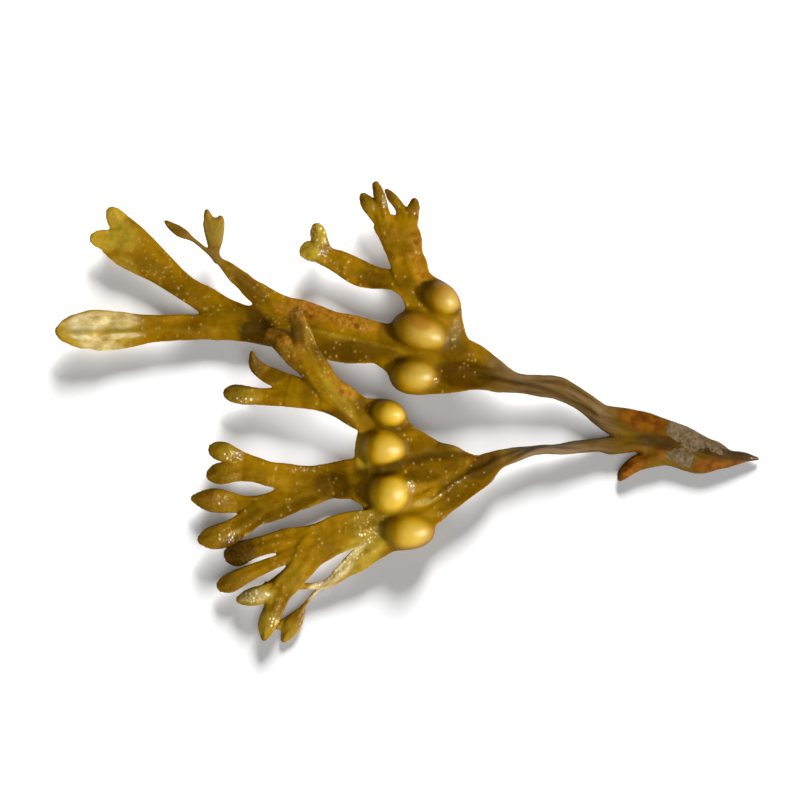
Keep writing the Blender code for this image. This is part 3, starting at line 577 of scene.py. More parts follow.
def edge_ends(quads):
    ends = np.vstack([quads[:, [i, (i + 1) % 4]] for i in range(4)])
    return ends[:, 0], ends[:, 1]


def neighbour_mean(values, ends, count):
    """The mean of each vertex's neighbours; every edge is met twice, once from each side."""
    a, b = ends
    weight = np.maximum(np.bincount(a, minlength=count), 1)
    totals = [np.bincount(a, weights=column[b], minlength=count) for column in values.T]
    return np.stack(totals, axis=1) / weight[:, None]


def relaxed(points, quads):
    """Taubin smoothing, which evens out the grid's steps without shrinking the form."""
    ends = edge_ends(quads)
    for amount in SMOOTHING:
        points = points + amount * (neighbour_mean(points, ends, len(points)) - points)
    return points


def vertex_normals(points, quads):
    corners = points[quads]
    face = np.cross(corners[:, 2] - corners[:, 0], corners[:, 3] - corners[:, 1])
    total = np.zeros_like(points)
    for i in range(4):
        for axis in range(3):
            total[:, axis] += np.bincount(quads[:, i], weights=face[:, axis], minlength=len(points))
    return unit(total)


# What each vertex of the surface knows about where it is


def nearest_samples(points, samples):
    """Index of the nearest of the samples to each point, worked out in chunks."""
    squares = (samples**2).sum(1)
    found = [np.zeros(0, int)]
    for i in range(0, len(points), CHUNK):
        found.append(np.argmin(squares - 2.0 * points[i : i + CHUNK] @ samples.T, axis=1))
    return np.concatenate(found)


def read_ribbons(points, ribbons):
    """Per vertex: the ribbon it lies on, the distance to that ribbon's nearest margin, how much it
    lies on a midrib and on a swollen end, and its place along and across the ribbon."""
    count = len(points)
    best = np.full(count, 9.0)
    seen = {k: np.zeros(count) for k in ("rib", "swollen", "along", "across")}
    seen["inset"] = np.full(count, -1.0)
    seen["owner"] = np.full(count, -1)
    for number, r in enumerate(ribbons):
        reach = r["width"].max() + 1.0
        close = (points > r["points"].min(0) - reach) & (points < r["points"].max(0) + reach)
        near = np.flatnonzero(close.all(axis=1))
        at = nearest_samples(points[near], r["points"])
        offset = points[near] - r["points"][at]
        a, l, h = ((offset * r[k][at]).sum(1) for k in ("along", "across", "up"))
        last = len(r["points"]) - 1
        beyond = np.where(at == 0, np.maximum(-a, 0), 0) + np.where(at == last, np.maximum(a, 0), 0)
        sizes = r["sizes"][at].T
        distance = section_distance(l, h, beyond, sizes)
        member = smoothstep(0.5, 0.1, distance)
        along = r["travelled"][at] + a
        for kind, value in (
            ("rib", ridge(l, sizes[0]) * (1 - sizes[3]) * member),
            ("swollen", np.interp(along, r["travelled"], r["swollen"]) * member),
            ("inset", np.where(distance < 0.5, sizes[0] - np.abs(l) - beyond, -1.0)),
        ):
            seen[kind][near] = np.maximum(seen[kind][near], value)
        owned = distance < best[near]
        mine = near[owned]
        best[mine] = distance[owned]
        seen["owner"][mine] = number
        seen["along"][mine] = along[owned]
        seen["across"][mine] = l[owned]
    return seen


def read_bladders(points):
    """Per vertex: the distance to the nearest air bladder's own surface."""
    return np.min([bladder_distance(*points.T, b) for b in BLADDERS], axis=0)


def lattice_noise(points, size, rng):
    """Smooth noise of about -1 to 1 with features of the given size."""
    p = points / size
    low = np.floor(p.min(0)).astype(int)
    shape = np.ceil(p.max(0)).astype(int) - low + 2
    lattice = rng.uniform(-1.0, 1.0, shape)
    cell = np.floor(p).astype(int) - low
    t = p - np.floor(p)
    t = t * t * (3 - 2 * t)
    total = np.zeros(len(points))
    for corner in CORNERS:
        weight = np.prod(np.where(corner, t, 1 - t), axis=1)
        total += weight * lattice[tuple((cell + corner).T)]
    return total


def crease_profile(points, line, width):
    """1 on a line through the given (x, y) places, falling to 0 beside it and at its ends."""
    line = np.array(line, float)
    travelled = distances_along(line)
    gap = np.full(len(points), 99.0)
    place = np.zeros(len(points))
    for i, step in enumerate(np.diff(line, axis=0)):
        share = np.clip(((points[:, :2] - line[i]) @ step) / (step @ step), 0.0, 1.0)
        here = np.linalg.norm(points[:, :2] - line[i] - share[:, None] * step, axis=1)
        place = np.where(here < gap, travelled[i] + share * np.linalg.norm(step), place)
        gap = np.minimum(here, gap)
    fade = min(CREASE_FADE, travelled[-1] / 3)
    ends = smoothstep(0.0, fade, place) * smoothstep(0.0, fade, travelled[-1] - place)
    return np.exp(-((gap / width) ** 2)) * ends


def patch(points, x, y, length, width, azimuth):
    """1 inside an oval in plan, falling to 0 round it."""
    turn = math.radians(azimuth)
    dx, dy = points[:, 0] - x, points[:, 1] - y
    a = (dx * math.cos(turn) + dy * math.sin(turn)) / length
    b = (dy * math.cos(turn) - dx * math.sin(turn)) / width
    return smoothstep(1.3, 0.7, np.sqrt(a * a + b * b))


def scattered(points, chance, rng):
    """Vertices picked at random, none too close to another, less often where chance is low."""
    order = rng.permutation(np.flatnonzero(rng.random(len(points)) < chance))
    taken, picked = {}, []
    for i in order:
        p = points[i]
        x, y, z = np.floor(p / DOT_SPACING).astype(int)
        around = (taken.get((x + dx, y + dy, z + dz)) for dx, dy, dz in product((-1, 0, 1), repeat=3))
        if all(q is None or np.linalg.norm(points[q] - p) > DOT_SPACING for q in around):
            taken[x, y, z] = i
            picked.append(i)
    return picked


def raised_dots(points, normals, picked, radius, rng):
    """Per vertex: how high it lies on the nearest round dot, from 0 to 1."""
    tree = kdtree.KDTree(len(points))
    for i, p in enumerate(points):
        tree.insert(p, i)
    tree.balance()
    height = np.zeros(len(points))
    sizes = radius * rng.uniform(0.7, 1.25, len(picked))
    for i, size in zip(picked, sizes):
        for _, j, gap in tree.find_range(points[i], 1.6 * size):
            if normals[i] @ normals[j] > 0:
                height[j] = max(height[j], math.exp(-((gap / (0.75 * size)) ** 2)))
    return height


# Finishing the surface

# Grooves and ridges on the upper side: line in plan, height, width.
CREASES = (
    (((14, 5.2), (20, 4.3), (26, 3.2), (31, 1.2), (36, -1.2), (40, -3.6)), -0.42, 0.45),
    (((13, 6.4), (21, 5.6), (27, 4.3), (32, 2.4), (37, -0.2)), 0.16, 0.5),
    (((4.8, -20.8), (7.4, -19.4), (10, -17.4), (14.6, -14.2)), 0.24, 0.45),
    (((6.4, -18), (11, -15.8), (15.4, -13), (19.4, -11.4)), -0.2, 0.8),
    (((-10.6, -14.4), (-3, -13.9), (1.6, -12.3), (6, -11), (10, -11.1), (17, -10.8)), -0.5, 1),
    (((44, -8.4), (50, -8.7), (57, -10.6), (64, -11.8), (70, -11.9)), -0.22, 0.5),
    (((6.9, 4.4), (7.8, 4)), 0.3, 0.4),
    (((-67.6, 13.9), (-60, 14), (-50, 14.2)), -0.16, 0.5),
    (((-21, 14.8), (-14, 13.2), (-6, 11.4), (0, 10.2)), 0.14, 0.5),
)

# Ovals in plan: x, y, half length, half width, azimuth and how strongly each one shows.
PLACES = {
    # whitish places: painted wet sheen, streaks and patches where light glances off the wet skin,
    # partly a pale film
    "milky_and_painted_sheen": (
        (-63.6, 12.6, 2.4, 0.6, -8, 1), (-55.8, 12.8, 4.4, 0.55, 3, 0.9), (-56.8, 16, 4.8, 1.7, 0, 0.6),
        (-59.6, 10.8, 4, 1.2, -4, 0.72), (-61.6, 11.6, 2.6, 1.4, 0, 0.65),
        (-61.8, 15.5, 4.8, 2, 6, 0.9), (-13.2, -35.2, 5, 1.5, 42, 0.72),
        (-10.4, -31.6, 5.5, 0.8, 40, 0.55), (-28.8, -39.2, 3, 1.2, 8, 0.5),
        (4.6, -20.5, 1.8, 0.6, 15, 0.25), (2.2, -17.4, 1, 1.2, 0, 0.3), (11.2, 14, 0.9, 2.6, -8, 0.15),
        (-17, -38, 3, 1.2, 38, 0.8),
    ),
    # pale: paler tips and places of the skin, and in a few places painted light that lifts shade or
    # stands in for a sheen
    "pale": (
        (-57.4, 36, 4.2, 3.2, 100, 0.85), (-59.6, 32.2, 3.8, 2.6, 10, 0.8),
        (-60.4, 14, 8.4, 4.6, 0, 0.9), (-34.6, -10.4, 2, 1.5, 0, 0.4), (-7.6, -30.2, 7.5, 3.2, 38, 0.7),
        (-7.2, -10.6, 1.6, 3.6, 0, 0.6), (4.6, -20.5, 2.4, 0.8, 15, 0.5),
        (-18.8, 29.8, 2.8, 2.2, 0, 0.85), (-55.2, 32.4, 3.2, 2.6, 0, 0.6),
        (-55, 26, 3.2, 2.4, -40, 0.35), (-16.6, 33, 2, 2.6, 0, 0.85), (-26.4, -45, 2.4, 2.6, 0, 0.45),
        (-22.6, -46.4, 2.4, 2.4, 0, 0.35), (-37.2, 34.6, 2.2, 3.4, 0, 0.45), (-5, -24, 6, 3, 20, 0.25),
        (-9.6, 12.2, 9.5, 0.5, -13, 0.2), (-21, -35.6, 3.6, 3, 60, 0.2), (-28.8, -39.2, 4, 2.2, 8, 0.6),
        (-12.4, 0.6, 6, 1.2, -50, 0.3), (-32, 0.8, 4.4, 1.6, 0, 0.35),
    ),
    "rust": (
        (-19, 18, 6, 2.2, -10, 1), (-10, 15.8, 5.6, 1.8, -18, 1), (3.4, 29, 1.6, 7, 8, 0.5),
        (-11, 1.9, 2.2, 1.3, -35, 0.9), (48.5, -3.9, 5.4, 2.4, -20, 1), (46.5, -13, 3.6, 2.8, 35, 1),
        (52.5, -9.5, 2, 2.6, -6, 0.7), (64.5, -12.9, 6.5, 1.5, 4, 1), (6.6, 28, 1.6, 5, 5, 0.3),
        (-38, -19.8, 2, 1.4, 0, 0.3), (-2, 34, 2, 3, 0, 0.2), (-5.4, 24.6, 2, 1.6, 0, 0.25),
        (-24, 12.4, 2.8, 1.4, -25, 0.8), (-20, 9.5, 2.2, 1.4, 60, 0.4), (20.5, -16, 4, 1, 55, 0.4),
        (5.6, 22.6, 1.6, 2.4, 30, 0.5),
    ),
    # dark: the skin's own darker places, and painted shade and painted shadows where a part lies in the
    # shadow of a raised finger or a bladder or turns away from the key lamp
    "dark": (
        (-32.6, -30.4, 4, 3, 20, 1), (65.4, -10.8, 7.5, 1, -9, 1), (52.2, -8.4, 5, 1.4, -8, 0.9),
        (-44.4, 33.9, 3, 1.6, 30, 0.4), (-48, 24.6, 6.5, 2.6, -40, 0.4),
        (-12.4, -4.4, 4, 2.2, -30, 0.85), (-29.6, 6.4, 2.6, 2.8, 20, 0.75), (22, 2.6, 5, 1.6, -8, 0.55),
        (6, -10.6, 6, 3, -10, 0.55), (15, -16.6, 5, 2.6, 36, 0.35), (-0.6, 24.4, 3.6, 2, -30, 0.35),
        (13, 5, 6.6, 3, -8, 0.95), (20, 4.4, 3.4, 2, -10, 0.5), (11.4, 9, 3.6, 3, -30, 0.6),
        (7.5, -12.6, 6, 1.8, -5, 0.55), (13, -16.6, 6, 2.6, 36, 0.5), (16.6, -13.2, 4.2, 2.2, 35, 1),
        (-13.6, -17.2, 3.8, 3, 0, 0.85), (-1.5, -5.4, 3.8, 1, -8, 0.6),
        (-30.5, -23.4, 3.4, 1.6, 30, 0.35), (4.6, -15, 3.6, 1.6, 0, 0.7), (-43, 13.6, 3.5, 2.6, 0, 0.3),
        (-23, -22.2, 8, 1.3, 25, 0.5), (-25, 5.2, 3.6, 1.6, 25, 0.7), (-10, 9.8, 8, 2.3, -3, 0.75),
        (-2.4, 9.3, 3.4, 1.2, -20, 0.7), (-5, 24, 4, 1.6, -20, 0.45), (-29.6, 21.9, 5, 1.6, -42, 0.6),
        (-20.6, 17, 1.4, 2, -70, 0.5), (-7.4, -2.6, 1.6, 3.4, 10, 0.4), (-5.2, 4.6, 1.8, 3.6, 0, 0.4),
        (-2.6, 12.4, 2.2, 4, 0, 0.55), (-4.2, -25.4, 1.5, 3, 0, 0.3),
        (-20.6, 14.4, 3.6, 1.3, 104, 0.75), (-22.4, 7.8, 5, 1.2, -43, 0.6),
        (2.6, 38.6, 1.6, 2.6, 0, 0.4), (-29.4, 15.2, 3.6, 3.6, 0, 0.4), (11, 17.6, 1.2, 0.7, 20, 0.8),
        (-38.4, -10.4, 1.4, 2, 0, 0.3), (-35.6, 1.2, 1.6, 1.6, 0, 0.5),
    ),
    "film": (
        (55.7, -6.3, 2.5, 2, -30, 1), (58.4, -7.9, 3, 2.2, -35, 1), (62, -9.3, 3.4, 0.8, -27, 0.75),
        (56.2, -11.2, 3, 1.5, 0, 1), (57.4, -12.8, 1.6, 1, 0, 0.8),
    ),
    "grey": (
        (62.6, -8.4, 7.5, 1.6, -24, 1), (11, 13.4, 1.5, 3, -10, 0.7), (-37.2, 33.4, 2.6, 5, 0, 0.5),
        (-40, 30.6, 6, 2, -40, 0.7), (-31, 23.6, 4, 1.6, -42, 0.35), (11.2, -8.9, 4, 1, -8, 0.8),
        (70, -11.2, 3, 1.2, -8, 0.8), (22.5, 6.6, 5, 2.4, -10, 0.8), (30, -9.8, 7, 2.6, 0, 0.75),
        (19, 1.8, 5, 1.6, -6, 0.6),
    ),
    "blush": ((4.2, 15.4, 2.2, 1.5, -15, 1), (8.4, 21.5, 1.6, 1.6, 0, 0.5)),
    "ripe": ((-2, -13, 8, 18, 0, 1),),
    "wet": (
        (-61, 14, 8, 4.4, 0, 1), (-10, -32, 9.5, 2.8, 40, 0.8), (-16.4, 33, 2, 2.6, 0, 0.7),
        (-29.5, -39.6, 3.4, 1.6, 8, 0.7),
    ),
    # glitter: wet drops, which raise the coat and carry painted glints, small pale spots
    "glitter": (
        (-11.2, -32.6, 6.6, 1.5, 40, 1), (-6.6, -27.2, 3.2, 2, 50, 0.8), (-7.6, -24, 2.8, 1.3, 20, 0.5),
        (11.2, 13.6, 0.9, 3, -10, 0.42), (-16.4, 33, 2, 2.6, 0, 0.6),
        (2, -17.2, 1, 1.3, 0, 1), (7.9, -23.2, 0.7, 1, 0, 1), (-29, -39.2, 3, 1.2, 8, 1),
        (-33.8, -11.2, 1.6, 1.1, -20, 0.8), (-36.2, -20, 1.8, 1, 0, 0.7),
        (-35, -27.2, 1.6, 1.6, -20, 0.55), (9.7, -17.7, 5.2, 0.35, 35, 1),
        (-31.2, 0.2, 1.8, 0.8, 0, 0.85), (-18.5, -13.8, 4, 0.8, 0, 0.42),
        (-25.2, -44.2, 1, 1.8, 0, 0.7), (7.3, 4, 0.5, 0.5, 0, 1), (-49, 27, 9, 4, -40, 0.12),
        (-17.4, 11.8, 5.4, 0.3, -66, 0.5), (-16, 34, 0.9, 1.6, 0, 0.8),
    ),
}


def placed_strengths(points):
    """How strongly each kind of place shows at each vertex."""
    found = {}
    for kind, ovals in PLACES.items():
        shown = [strength * patch(points, *oval) for *oval, strength in ovals]
        found[kind] = np.max(shown, axis=0)
    return found


def read_looks(points, normals, seen, bulge):
    """What each vertex carries for the materials, as far as its place decides it."""
    looks = placed_strengths(points)
    for kind in ("glitter", "milky_and_painted_sheen"):
        looks[kind] *= normals[:, 2] > 0
    for kind in ("rib", "swollen", "along", "across"):
        looks[kind] = seen[kind]
    looks["margin"] = smoothstep(0.75, 0.1, seen["inset"])
    clear = smoothstep(0.4, 3.2, np.abs(points[:, 2] - BLADE_LEVEL))
    looks["bladder"] = smoothstep(0.4, 0.0, bulge) * clear
    looks["seam"] = smoothstep(1.3, 0.5, bulge) * (1 - looks["bladder"]) * (1 - 0.7 * looks["wet"])
    # the side of each bladder that faces the key lamp's highlight: a highlight is painted there, and
    # the coat lies there
    looks["highlight_side"] = looks["bladder"] * smoothstep(0.5, 0.92, normals @ TOWARDS_HIGHLIGHT)
    looks["stalk"] = smoothstep(*STIPE_SKIN, points[:, 0] + 3.0 * seen["rib"])
    looks["root"] = smoothstep(*BASE_SKIN, points[:, 0])
    return looks


def finished(points, quads, ribbons, rng):
    """The points with their fine relief, and the looks each vertex carries for the materials."""
    normals = vertex_normals(points, quads)
    seen = read_ribbons(points, ribbons)
    bulge = read_bladders(points)
    looks = read_looks(points, normals, seen, bulge)
    relief = sum(height * lattice_noise(points, size, rng) for height, size in LUMPS)
    wrinkled = looks["wet"] * (1 - looks["swollen"])
    height, size = WRINKLES
    relief += height * wrinkled * lattice_noise(points * (0.8, 1.0, 1.0), size, rng)
    relief *= 1 - 0.85 * looks["bladder"]
    top = smoothstep(-0.1, 0.35, normals[:, 2])
    # the grooves also get painted shade in their colour
    looks["painted_crease_shade"] = np.zeros(len(points))
    for line, height, width in CREASES:
        profile = crease_profile(points, line, width) * top
        relief += height * profile
        if height < 0:
            looks["painted_crease_shade"] = np.maximum(looks["painted_crease_shade"], profile * min(1.0, -2.5 * height))
    blade = smoothstep(0.4, 0.9, bulge) * (1 - looks["stalk"]) * (1 - looks["swollen"])
    blade *= smoothstep(*PORES_FADE, points[:, 0])
    # painted glints: small pale spots on the glittering drops and on a few drops elsewhere
    looks["painted_glint"] = np.maximum(looks["glitter"], PAINTED_GLINT_CHANCE * blade)
    crowd = smoothstep(-0.1, 0.6, lattice_noise(points, CROWDS, rng)) + 7.0 * looks["glitter"]
    chances = {
        "pore": PORE_CHANCE * blade * crowd * (seen["inset"] > 0.3),
        "wart": WART_CHANCE * looks["swollen"],
    }
    picked = {kind: scattered(points, chance, rng) for kind, chance in chances.items()}
    for kind, (radius, height, more) in DOTS.items():
        looks[kind] = raised_dots(points, normals, picked[kind], radius, rng)
        relief += (height + more * looks["glitter"]) * looks[kind]
    points = points + normals * relief[:, None]
    loose = (1 - looks["stalk"]) * smoothstep(0.2, 1.6, bulge) * smoothstep(0.5, 1.5, points[:, 2])
    height, size = SAG
    points[:, 2] += height * loose * lattice_noise(points * (1.0, 1.0, 0.3), size, rng)
    return points, seen["owner"], looks


# Materials


def srgb(red, green, blue):
    """A colour given as it shows on a screen, 0 to 255, as a linear one with alpha."""
    parts = [v / 255 for v in (red, green, blue)]
    return (*(p / 12.92 if p <= 0.04045 else ((p + 0.055) / 1.055) ** 2.4 for p in parts), 1.0)


class Paint:
    """The nodes of one material or of the world."""

    def __init__(self, owner):
        self.owner = owner
        owner.use_nodes = True
        self.tree = owner.node_tree

    @cached_property
    def place(self):
        """Where a point of the surface lies, in millimetres."""
        return self.stretched(self.made("TexCoord")["Object"], (1 / MM,) * 3)

    def made(self, kind, inputs=(), **settings):
        """The outputs of a new node with the given settings and inputs."""
        node = self.tree.nodes.new("ShaderNode" + kind)
        for name, value in settings.items():
            setattr(node, name, value)
        self.fill(node, inputs)
        return node.outputs

    def fill(self, node, inputs):
        for name, value in dict(inputs).items():
            if isinstance(value, bpy.types.NodeSocket):
                self.tree.links.new(value, node.inputs[name])
            else:
                node.inputs[name].default_value = value

    def stretched(self, place, factors):
        return self.made("VectorMath", {0: place, 1: factors}, operation="MULTIPLY")["Vector"]

    def carried(self, name):
        """A value that each vertex carries."""
        return self.made("Attribute", attribute_name=name)["Fac"]

    def maths(self, operation, *values):
        return self.made("Math", enumerate(values), operation=operation)["Value"]

    def times(self, a, b):
        return self.maths("MULTIPLY", a, b)

    def plus(self, a, b):
        return self.maths("ADD", a, b)

    def most(self, a, b):
        return self.maths("MAXIMUM", a, b)

    def less(self, a, share):
        """What is left of a value when a share of it is gone."""
        return self.times(a, self.maths("SUBTRACT", 1.0, share))

    def part(self, name, share):
        """A share of a value that each vertex carries."""
        return self.times(self.carried(name), share)

    def between(self, value, low, high, start=0.0, end=1.0):
        """Goes smoothly from start to end while the value goes from low to high."""
        ends = {"Value": value, "From Min": low, "From Max": high, "To Min": start, "To Max": end}
        return self.made("MapRange", ends, interpolation_type="SMOOTHSTEP")["Result"]

    def mix(self, share, a, b):
        return self.made("Mix", {"Factor": share, "A": a, "B": b}, data_type="RGBA")["Result"]

    def stained(self, colour, *stains):
        """The colour under stains, each the name of a carried value, its strength and a colour."""
        for name, strength, stain in stains:
            colour = self.mix(self.part(name, strength), colour, stain)
        return colour

    def noise(self, size, detail=2.0, roughness=0.5, place=None):
        """Noise with features of the given size in millimetres."""
        place = self.place if place is None else place
        inputs = {"Vector": place, "Scale": 1 / size, "Detail": detail, "Roughness": roughness}
        return self.made("TexNoise", inputs)["Fac"]

    def cells(self, place, scale):
        """How far it is to the nearest of many scattered points, and that point's own number."""
        outputs = self.made("TexVoronoi", {"Vector": place, "Scale": scale})
        return outputs["Distance"], outputs["Color"]

    def bump(self, height, strength, distance, under=None):
        inputs = {"Height": height, "Strength": strength, "Distance": distance * MM}
        if under is not None:
            inputs["Normal"] = under
        return self.made("Bump", inputs)["Normal"]

    def finish(self, looks, shader="Principled BSDF"):
        self.fill(self.tree.nodes[shader], looks)
        return self.owner


def spots(p, size):
    """Soft round spots of about the given size, on half of the places for one."""
    gap, number = p.cells(p.place, 0.6 / size)
    return p.times(p.between(gap, 0.12, 0.5, 1.0, 0.0), p.maths("LESS_THAN", number, 0.58))


def lengthwise(p, squeeze, detail, roughness):
    """Noise that is drawn out along each ribbon."""
    place = p.made("CombineXYZ", {0: p.part("along", squeeze), 1: p.carried("across")})["Vector"]
    return p.noise(1.1, detail, roughness, place)


def blade_colour(p):
    """Wet olive-gold blades with pale and rust-coloured parts, painted sheen, and painted shade in
    grooves, at seams and where shadows fall.
    """
    broad, fine, coarse = p.noise(6.0, 3.0), p.noise(0.9, 4.0, 0.6), p.noise(1.6, 3.0)
    blotches = lengthwise(p, 0.5, 4.0, 0.65)
    rust = p.mix(p.between(fine, 0.35, 0.65), srgb(160, 102, 12), srgb(194, 140, 46))
    mottle = p.most(spots(p, 1.0), p.between(coarse, 0.5, 0.7, 0.0, 0.5))
    colour = p.mix(p.between(broad, 0.35, 0.68), srgb(122, 87, 0), srgb(164, 120, 0))
    colour = p.mix(p.between(fine, 0.35, 0.75, 0.0, 0.4), colour, srgb(176, 134, 4))
    return p.stained(
        colour,
        ("rib", 0.3, srgb(128, 96, 0)),
        ("swollen", 0.45, srgb(128, 94, 6)),
        ("margin", 0.28, srgb(118, 80, 0)),
        # pale places, a few of them painted light
        ("pale", p.between(fine, 0.2, 0.7, 0.55, 1.0), srgb(196, 168, 48)),
        # painted wet sheen, partly a pale film
        ("milky_and_painted_sheen", p.between(blotches, 0.34, 0.66, 0.25, 0.95), srgb(237, 224, 172)),
        ("rust", p.between(coarse, 0.35, 0.6, 0.4, 1.0), rust),
        ("rust", p.times(mottle, 0.8), srgb(112, 58, 4)),
        ("grey", 0.6, srgb(134, 112, 62)),
        # painted shade and shadows, and darker places of the skin
        ("dark", 0.85, srgb(74, 46, 0)),
        # painted shade where a bladder meets the blade
        ("seam", 0.3, srgb(90, 60, 0)),
        ("bladder", 1.0, bladder_colour(p)),
    )


def bladder_colour(p):
    """Golden, with an orange blush, and paler where the key lamp's highlight falls: a painted
    highlight.
    """
    patchy = p.between(p.noise(2.2, 2.0), 0.35, 0.7)
    unripe = p.mix(patchy, srgb(176, 128, 4), srgb(185, 142, 14))
    ripe = p.mix(patchy, srgb(206, 156, 4), srgb(213, 169, 18))
    return p.stained(
        unripe,
        ("ripe", 1.0, ripe),
        # painted highlight on the side that faces the key lamp
        ("highlight_side", 0.38, srgb(222, 202, 98)),
        ("blush", 0.6, srgb(166, 100, 14)),
    )


def stipe_colour(p, streaks):
    """Leathery grey-brown with long streaks, olive in the groove, and darker places that are partly
    painted shade.
    """
    colour = p.mix(p.between(streaks, 0.3, 0.7), srgb(82, 57, 20), srgb(130, 103, 66))
    colour = p.mix(p.between(p.noise(4.0, 3.0), 0.4, 0.7, 0.0, 0.6), colour, srgb(104, 76, 20))
    # the darker places are partly painted shade
    return p.stained(colour, ("grey", 0.5, srgb(150, 128, 98)), ("dark", 0.7, srgb(74, 50, 8)))


def base_colour(p, streaks, film):
    """Rust and olive skin, with a peeled greyish film and a grey, frayed end."""
    bark = p.mix(p.between(p.noise(2.2, 3.0), 0.35, 0.65), srgb(104, 52, 6), srgb(136, 82, 10))
    rusty = p.between(p.noise(1.8, 3.0), 0.3, 0.6, 0.6, 1.0)
    frayed = p.between(p.noise(0.5, 4.0, 0.7), 0.3, 0.7, 0.5, 1.0)
    ragged = p.between(p.noise(0.8, 5.0, 0.7), 0.36, 0.64)
    colour = p.stained(
        p.mix(p.between(streaks, 0.3, 0.7), srgb(92, 68, 6), srgb(118, 86, 14)),
        ("rust", rusty, bark),
        ("rust", p.times(p.times(spots(p, 0.9), rusty), 0.5), srgb(86, 40, 4)),
        ("grey", frayed, p.mix(p.noise(0.6, 4.0, 0.7), srgb(78, 56, 30), srgb(132, 112, 88))),
        ("dark", 0.85, srgb(62, 42, 14)),
    )
    return p.mix(p.times(film, 0.85), colour, p.mix(ragged, srgb(88, 72, 48), srgb(134, 115, 88)))


def with_painted_glints(p, colour, gap, number):
    """The colour under painted glints, small pale spots, one for each drop."""
    painted_glint = p.carried("painted_glint")
    size = p.maths("MULTIPLY_ADD", number, 0.4, gap)
    shown = p.times(p.between(size, 0.26, 0.62, 1.0, 0.0), p.maths("LESS_THAN", number, painted_glint))
    shown = p.times(shown, p.between(painted_glint, 0.2, 0.8, 0.42, 1.0))
    pale = p.mix(p.between(painted_glint, 0.3, 0.8), srgb(222, 190, 104), srgb(255, 240, 186))
    return p.mix(shown, colour, pale)


def roughness(p):
    """Satin on the bladders, the wrinkled wet places and the stipes, and smoother elsewhere."""
    satin = p.most(p.carried("bladder"), p.carried("wet"))
    stipes = p.maths("SUBTRACT", p.carried("stalk"), p.carried("root"))
    satin = p.times(p.most(satin, stipes), 0.47)
    rough = p.most(p.between(p.noise(1.5, 3.0), 0.3, 0.7, 0.24, 0.36), satin)
    return p.plus(rough, p.part("seam", 0.12))


def wetness(p):
    """A coat of water, thick on wet places and drops, and on a bladder only on the side that faces the
    key lamp, where its highlight falls.
    """
    coat = p.plus(p.times(p.most(p.carried("wet"), p.carried("glitter")), 0.85), 0.05)
    coat = p.plus(p.plus(coat, p.part("pore", 0.4)), p.part("swollen", 0.25))
    coat = p.less(coat, p.most(p.carried("seam"), p.part("margin", 0.8)))
    return p.most(p.less(coat, p.carried("bladder")), p.part("highlight_side", 0.85))


def skin(name, soft, with_blade=False, with_base=False):
    """The frond's skin; only the parts of it that a piece shows are built."""
    p = Paint(bpy.data.materials.new(name))
    streaks = lengthwise(p, 0.09, 3.0, 0.55)
    colour = stipe_colour(p, streaks)
    normal = p.bump(p.noise(0.7, 3.0, 0.6), 0.3, 0.05)
    normal = p.bump(streaks, p.part("stalk", 0.6), 0.1, normal)
    grain = p.between(p.carried("glitter"), 0.0, 1.0, 0.2, 1.0)
    normal = p.bump(p.noise(0.3, 3.0, 0.6), grain, 0.045, normal)
    if with_blade:
        colour = p.mix(p.carried("stalk"), blade_colour(p), colour)
    if with_base:
        ragged = p.between(p.noise(1.0, 4.0, 0.65), 0.3, 0.7, -0.32, 0.32)
        film = p.between(p.plus(p.carried("film"), ragged), 0.48, 0.56)
        colour = p.mix(p.carried("root"), colour, base_colour(p, streaks, film))
        normal = p.bump(film, 0.8, 0.09, normal)
    colour = p.stained(
        colour,
        # pale pores, whose colour also stands in for their glints: partly painted highlight
        ("pore", 0.6, srgb(208, 176, 92)),
        ("wart", 0.2, srgb(168, 138, 66)),
        # painted shade in the grooves
        ("painted_crease_shade", 0.75, srgb(70, 50, 8)),
    )
    gap, number = p.cells(p.stretched(p.place, DROP_SQUEEZE), 1 / DROP_SPACING)
    drops = p.times(p.between(gap, 0.0, 0.42, 1.0, 0.0), p.carried("glitter"))
    water = p.bump(drops, 1.0, 0.16, normal)
    water = p.bump(p.noise(0.1, 1.0), p.part("bladder", 0.85), 0.05, water)
    looks = {
        "Base Color": with_painted_glints(p, colour, gap, number),
        "Roughness": roughness(p),
        "Normal": normal,
        "Coat Normal": water,
        "Coat Weight": wetness(p),
        "Subsurface Weight": p.plus(soft, p.part("bladder", 0.35)),
    }
    return p.finish({**FLESH, **looks})


# Pieces


def placed(name, data, material=None):
    """A new object in the scene."""
    if material:
        data.materials.append(material)
    thing = bpy.data.objects.new(name, data)
    bpy.context.scene.collection.objects.link(thing)
    return thing


def closed_piece(name, points, quads, normals, looks, material):
    """The given quads as one closed object, with its cut ends filled."""
    used = np.unique(quads)
    renumber = np.full(len(points), -1)
    renumber[used] = np.arange(len(used))
    place = (points[used] - CENTRE) * MM
    mesh = bpy.data.meshes.new(name)
    mesh.from_pydata(place.tolist(), [], renumber[quads].tolist())
    for kind, values in looks.items():
        carried = mesh.attributes.new(kind, "FLOAT", "POINT")
        carried.data.foreach_set("value", values[used].astype(np.float32))
    fill_ends(mesh)
    mesh.shade_smooth()
    mesh.normals_split_custom_set_from_vertices(normals[used].tolist())
    return placed(name, mesh, material)


def fill_ends(mesh):
    work = bmesh.new()
    work.from_mesh(mesh)
    rim = [e for e in work.edges if e.is_boundary]
    cap = bmesh.ops.holes_fill(work, edges=rim, sides=0)["faces"]
    bmesh.ops.triangulate(work, faces=cap)
    work.to_mesh(mesh)
    work.free()


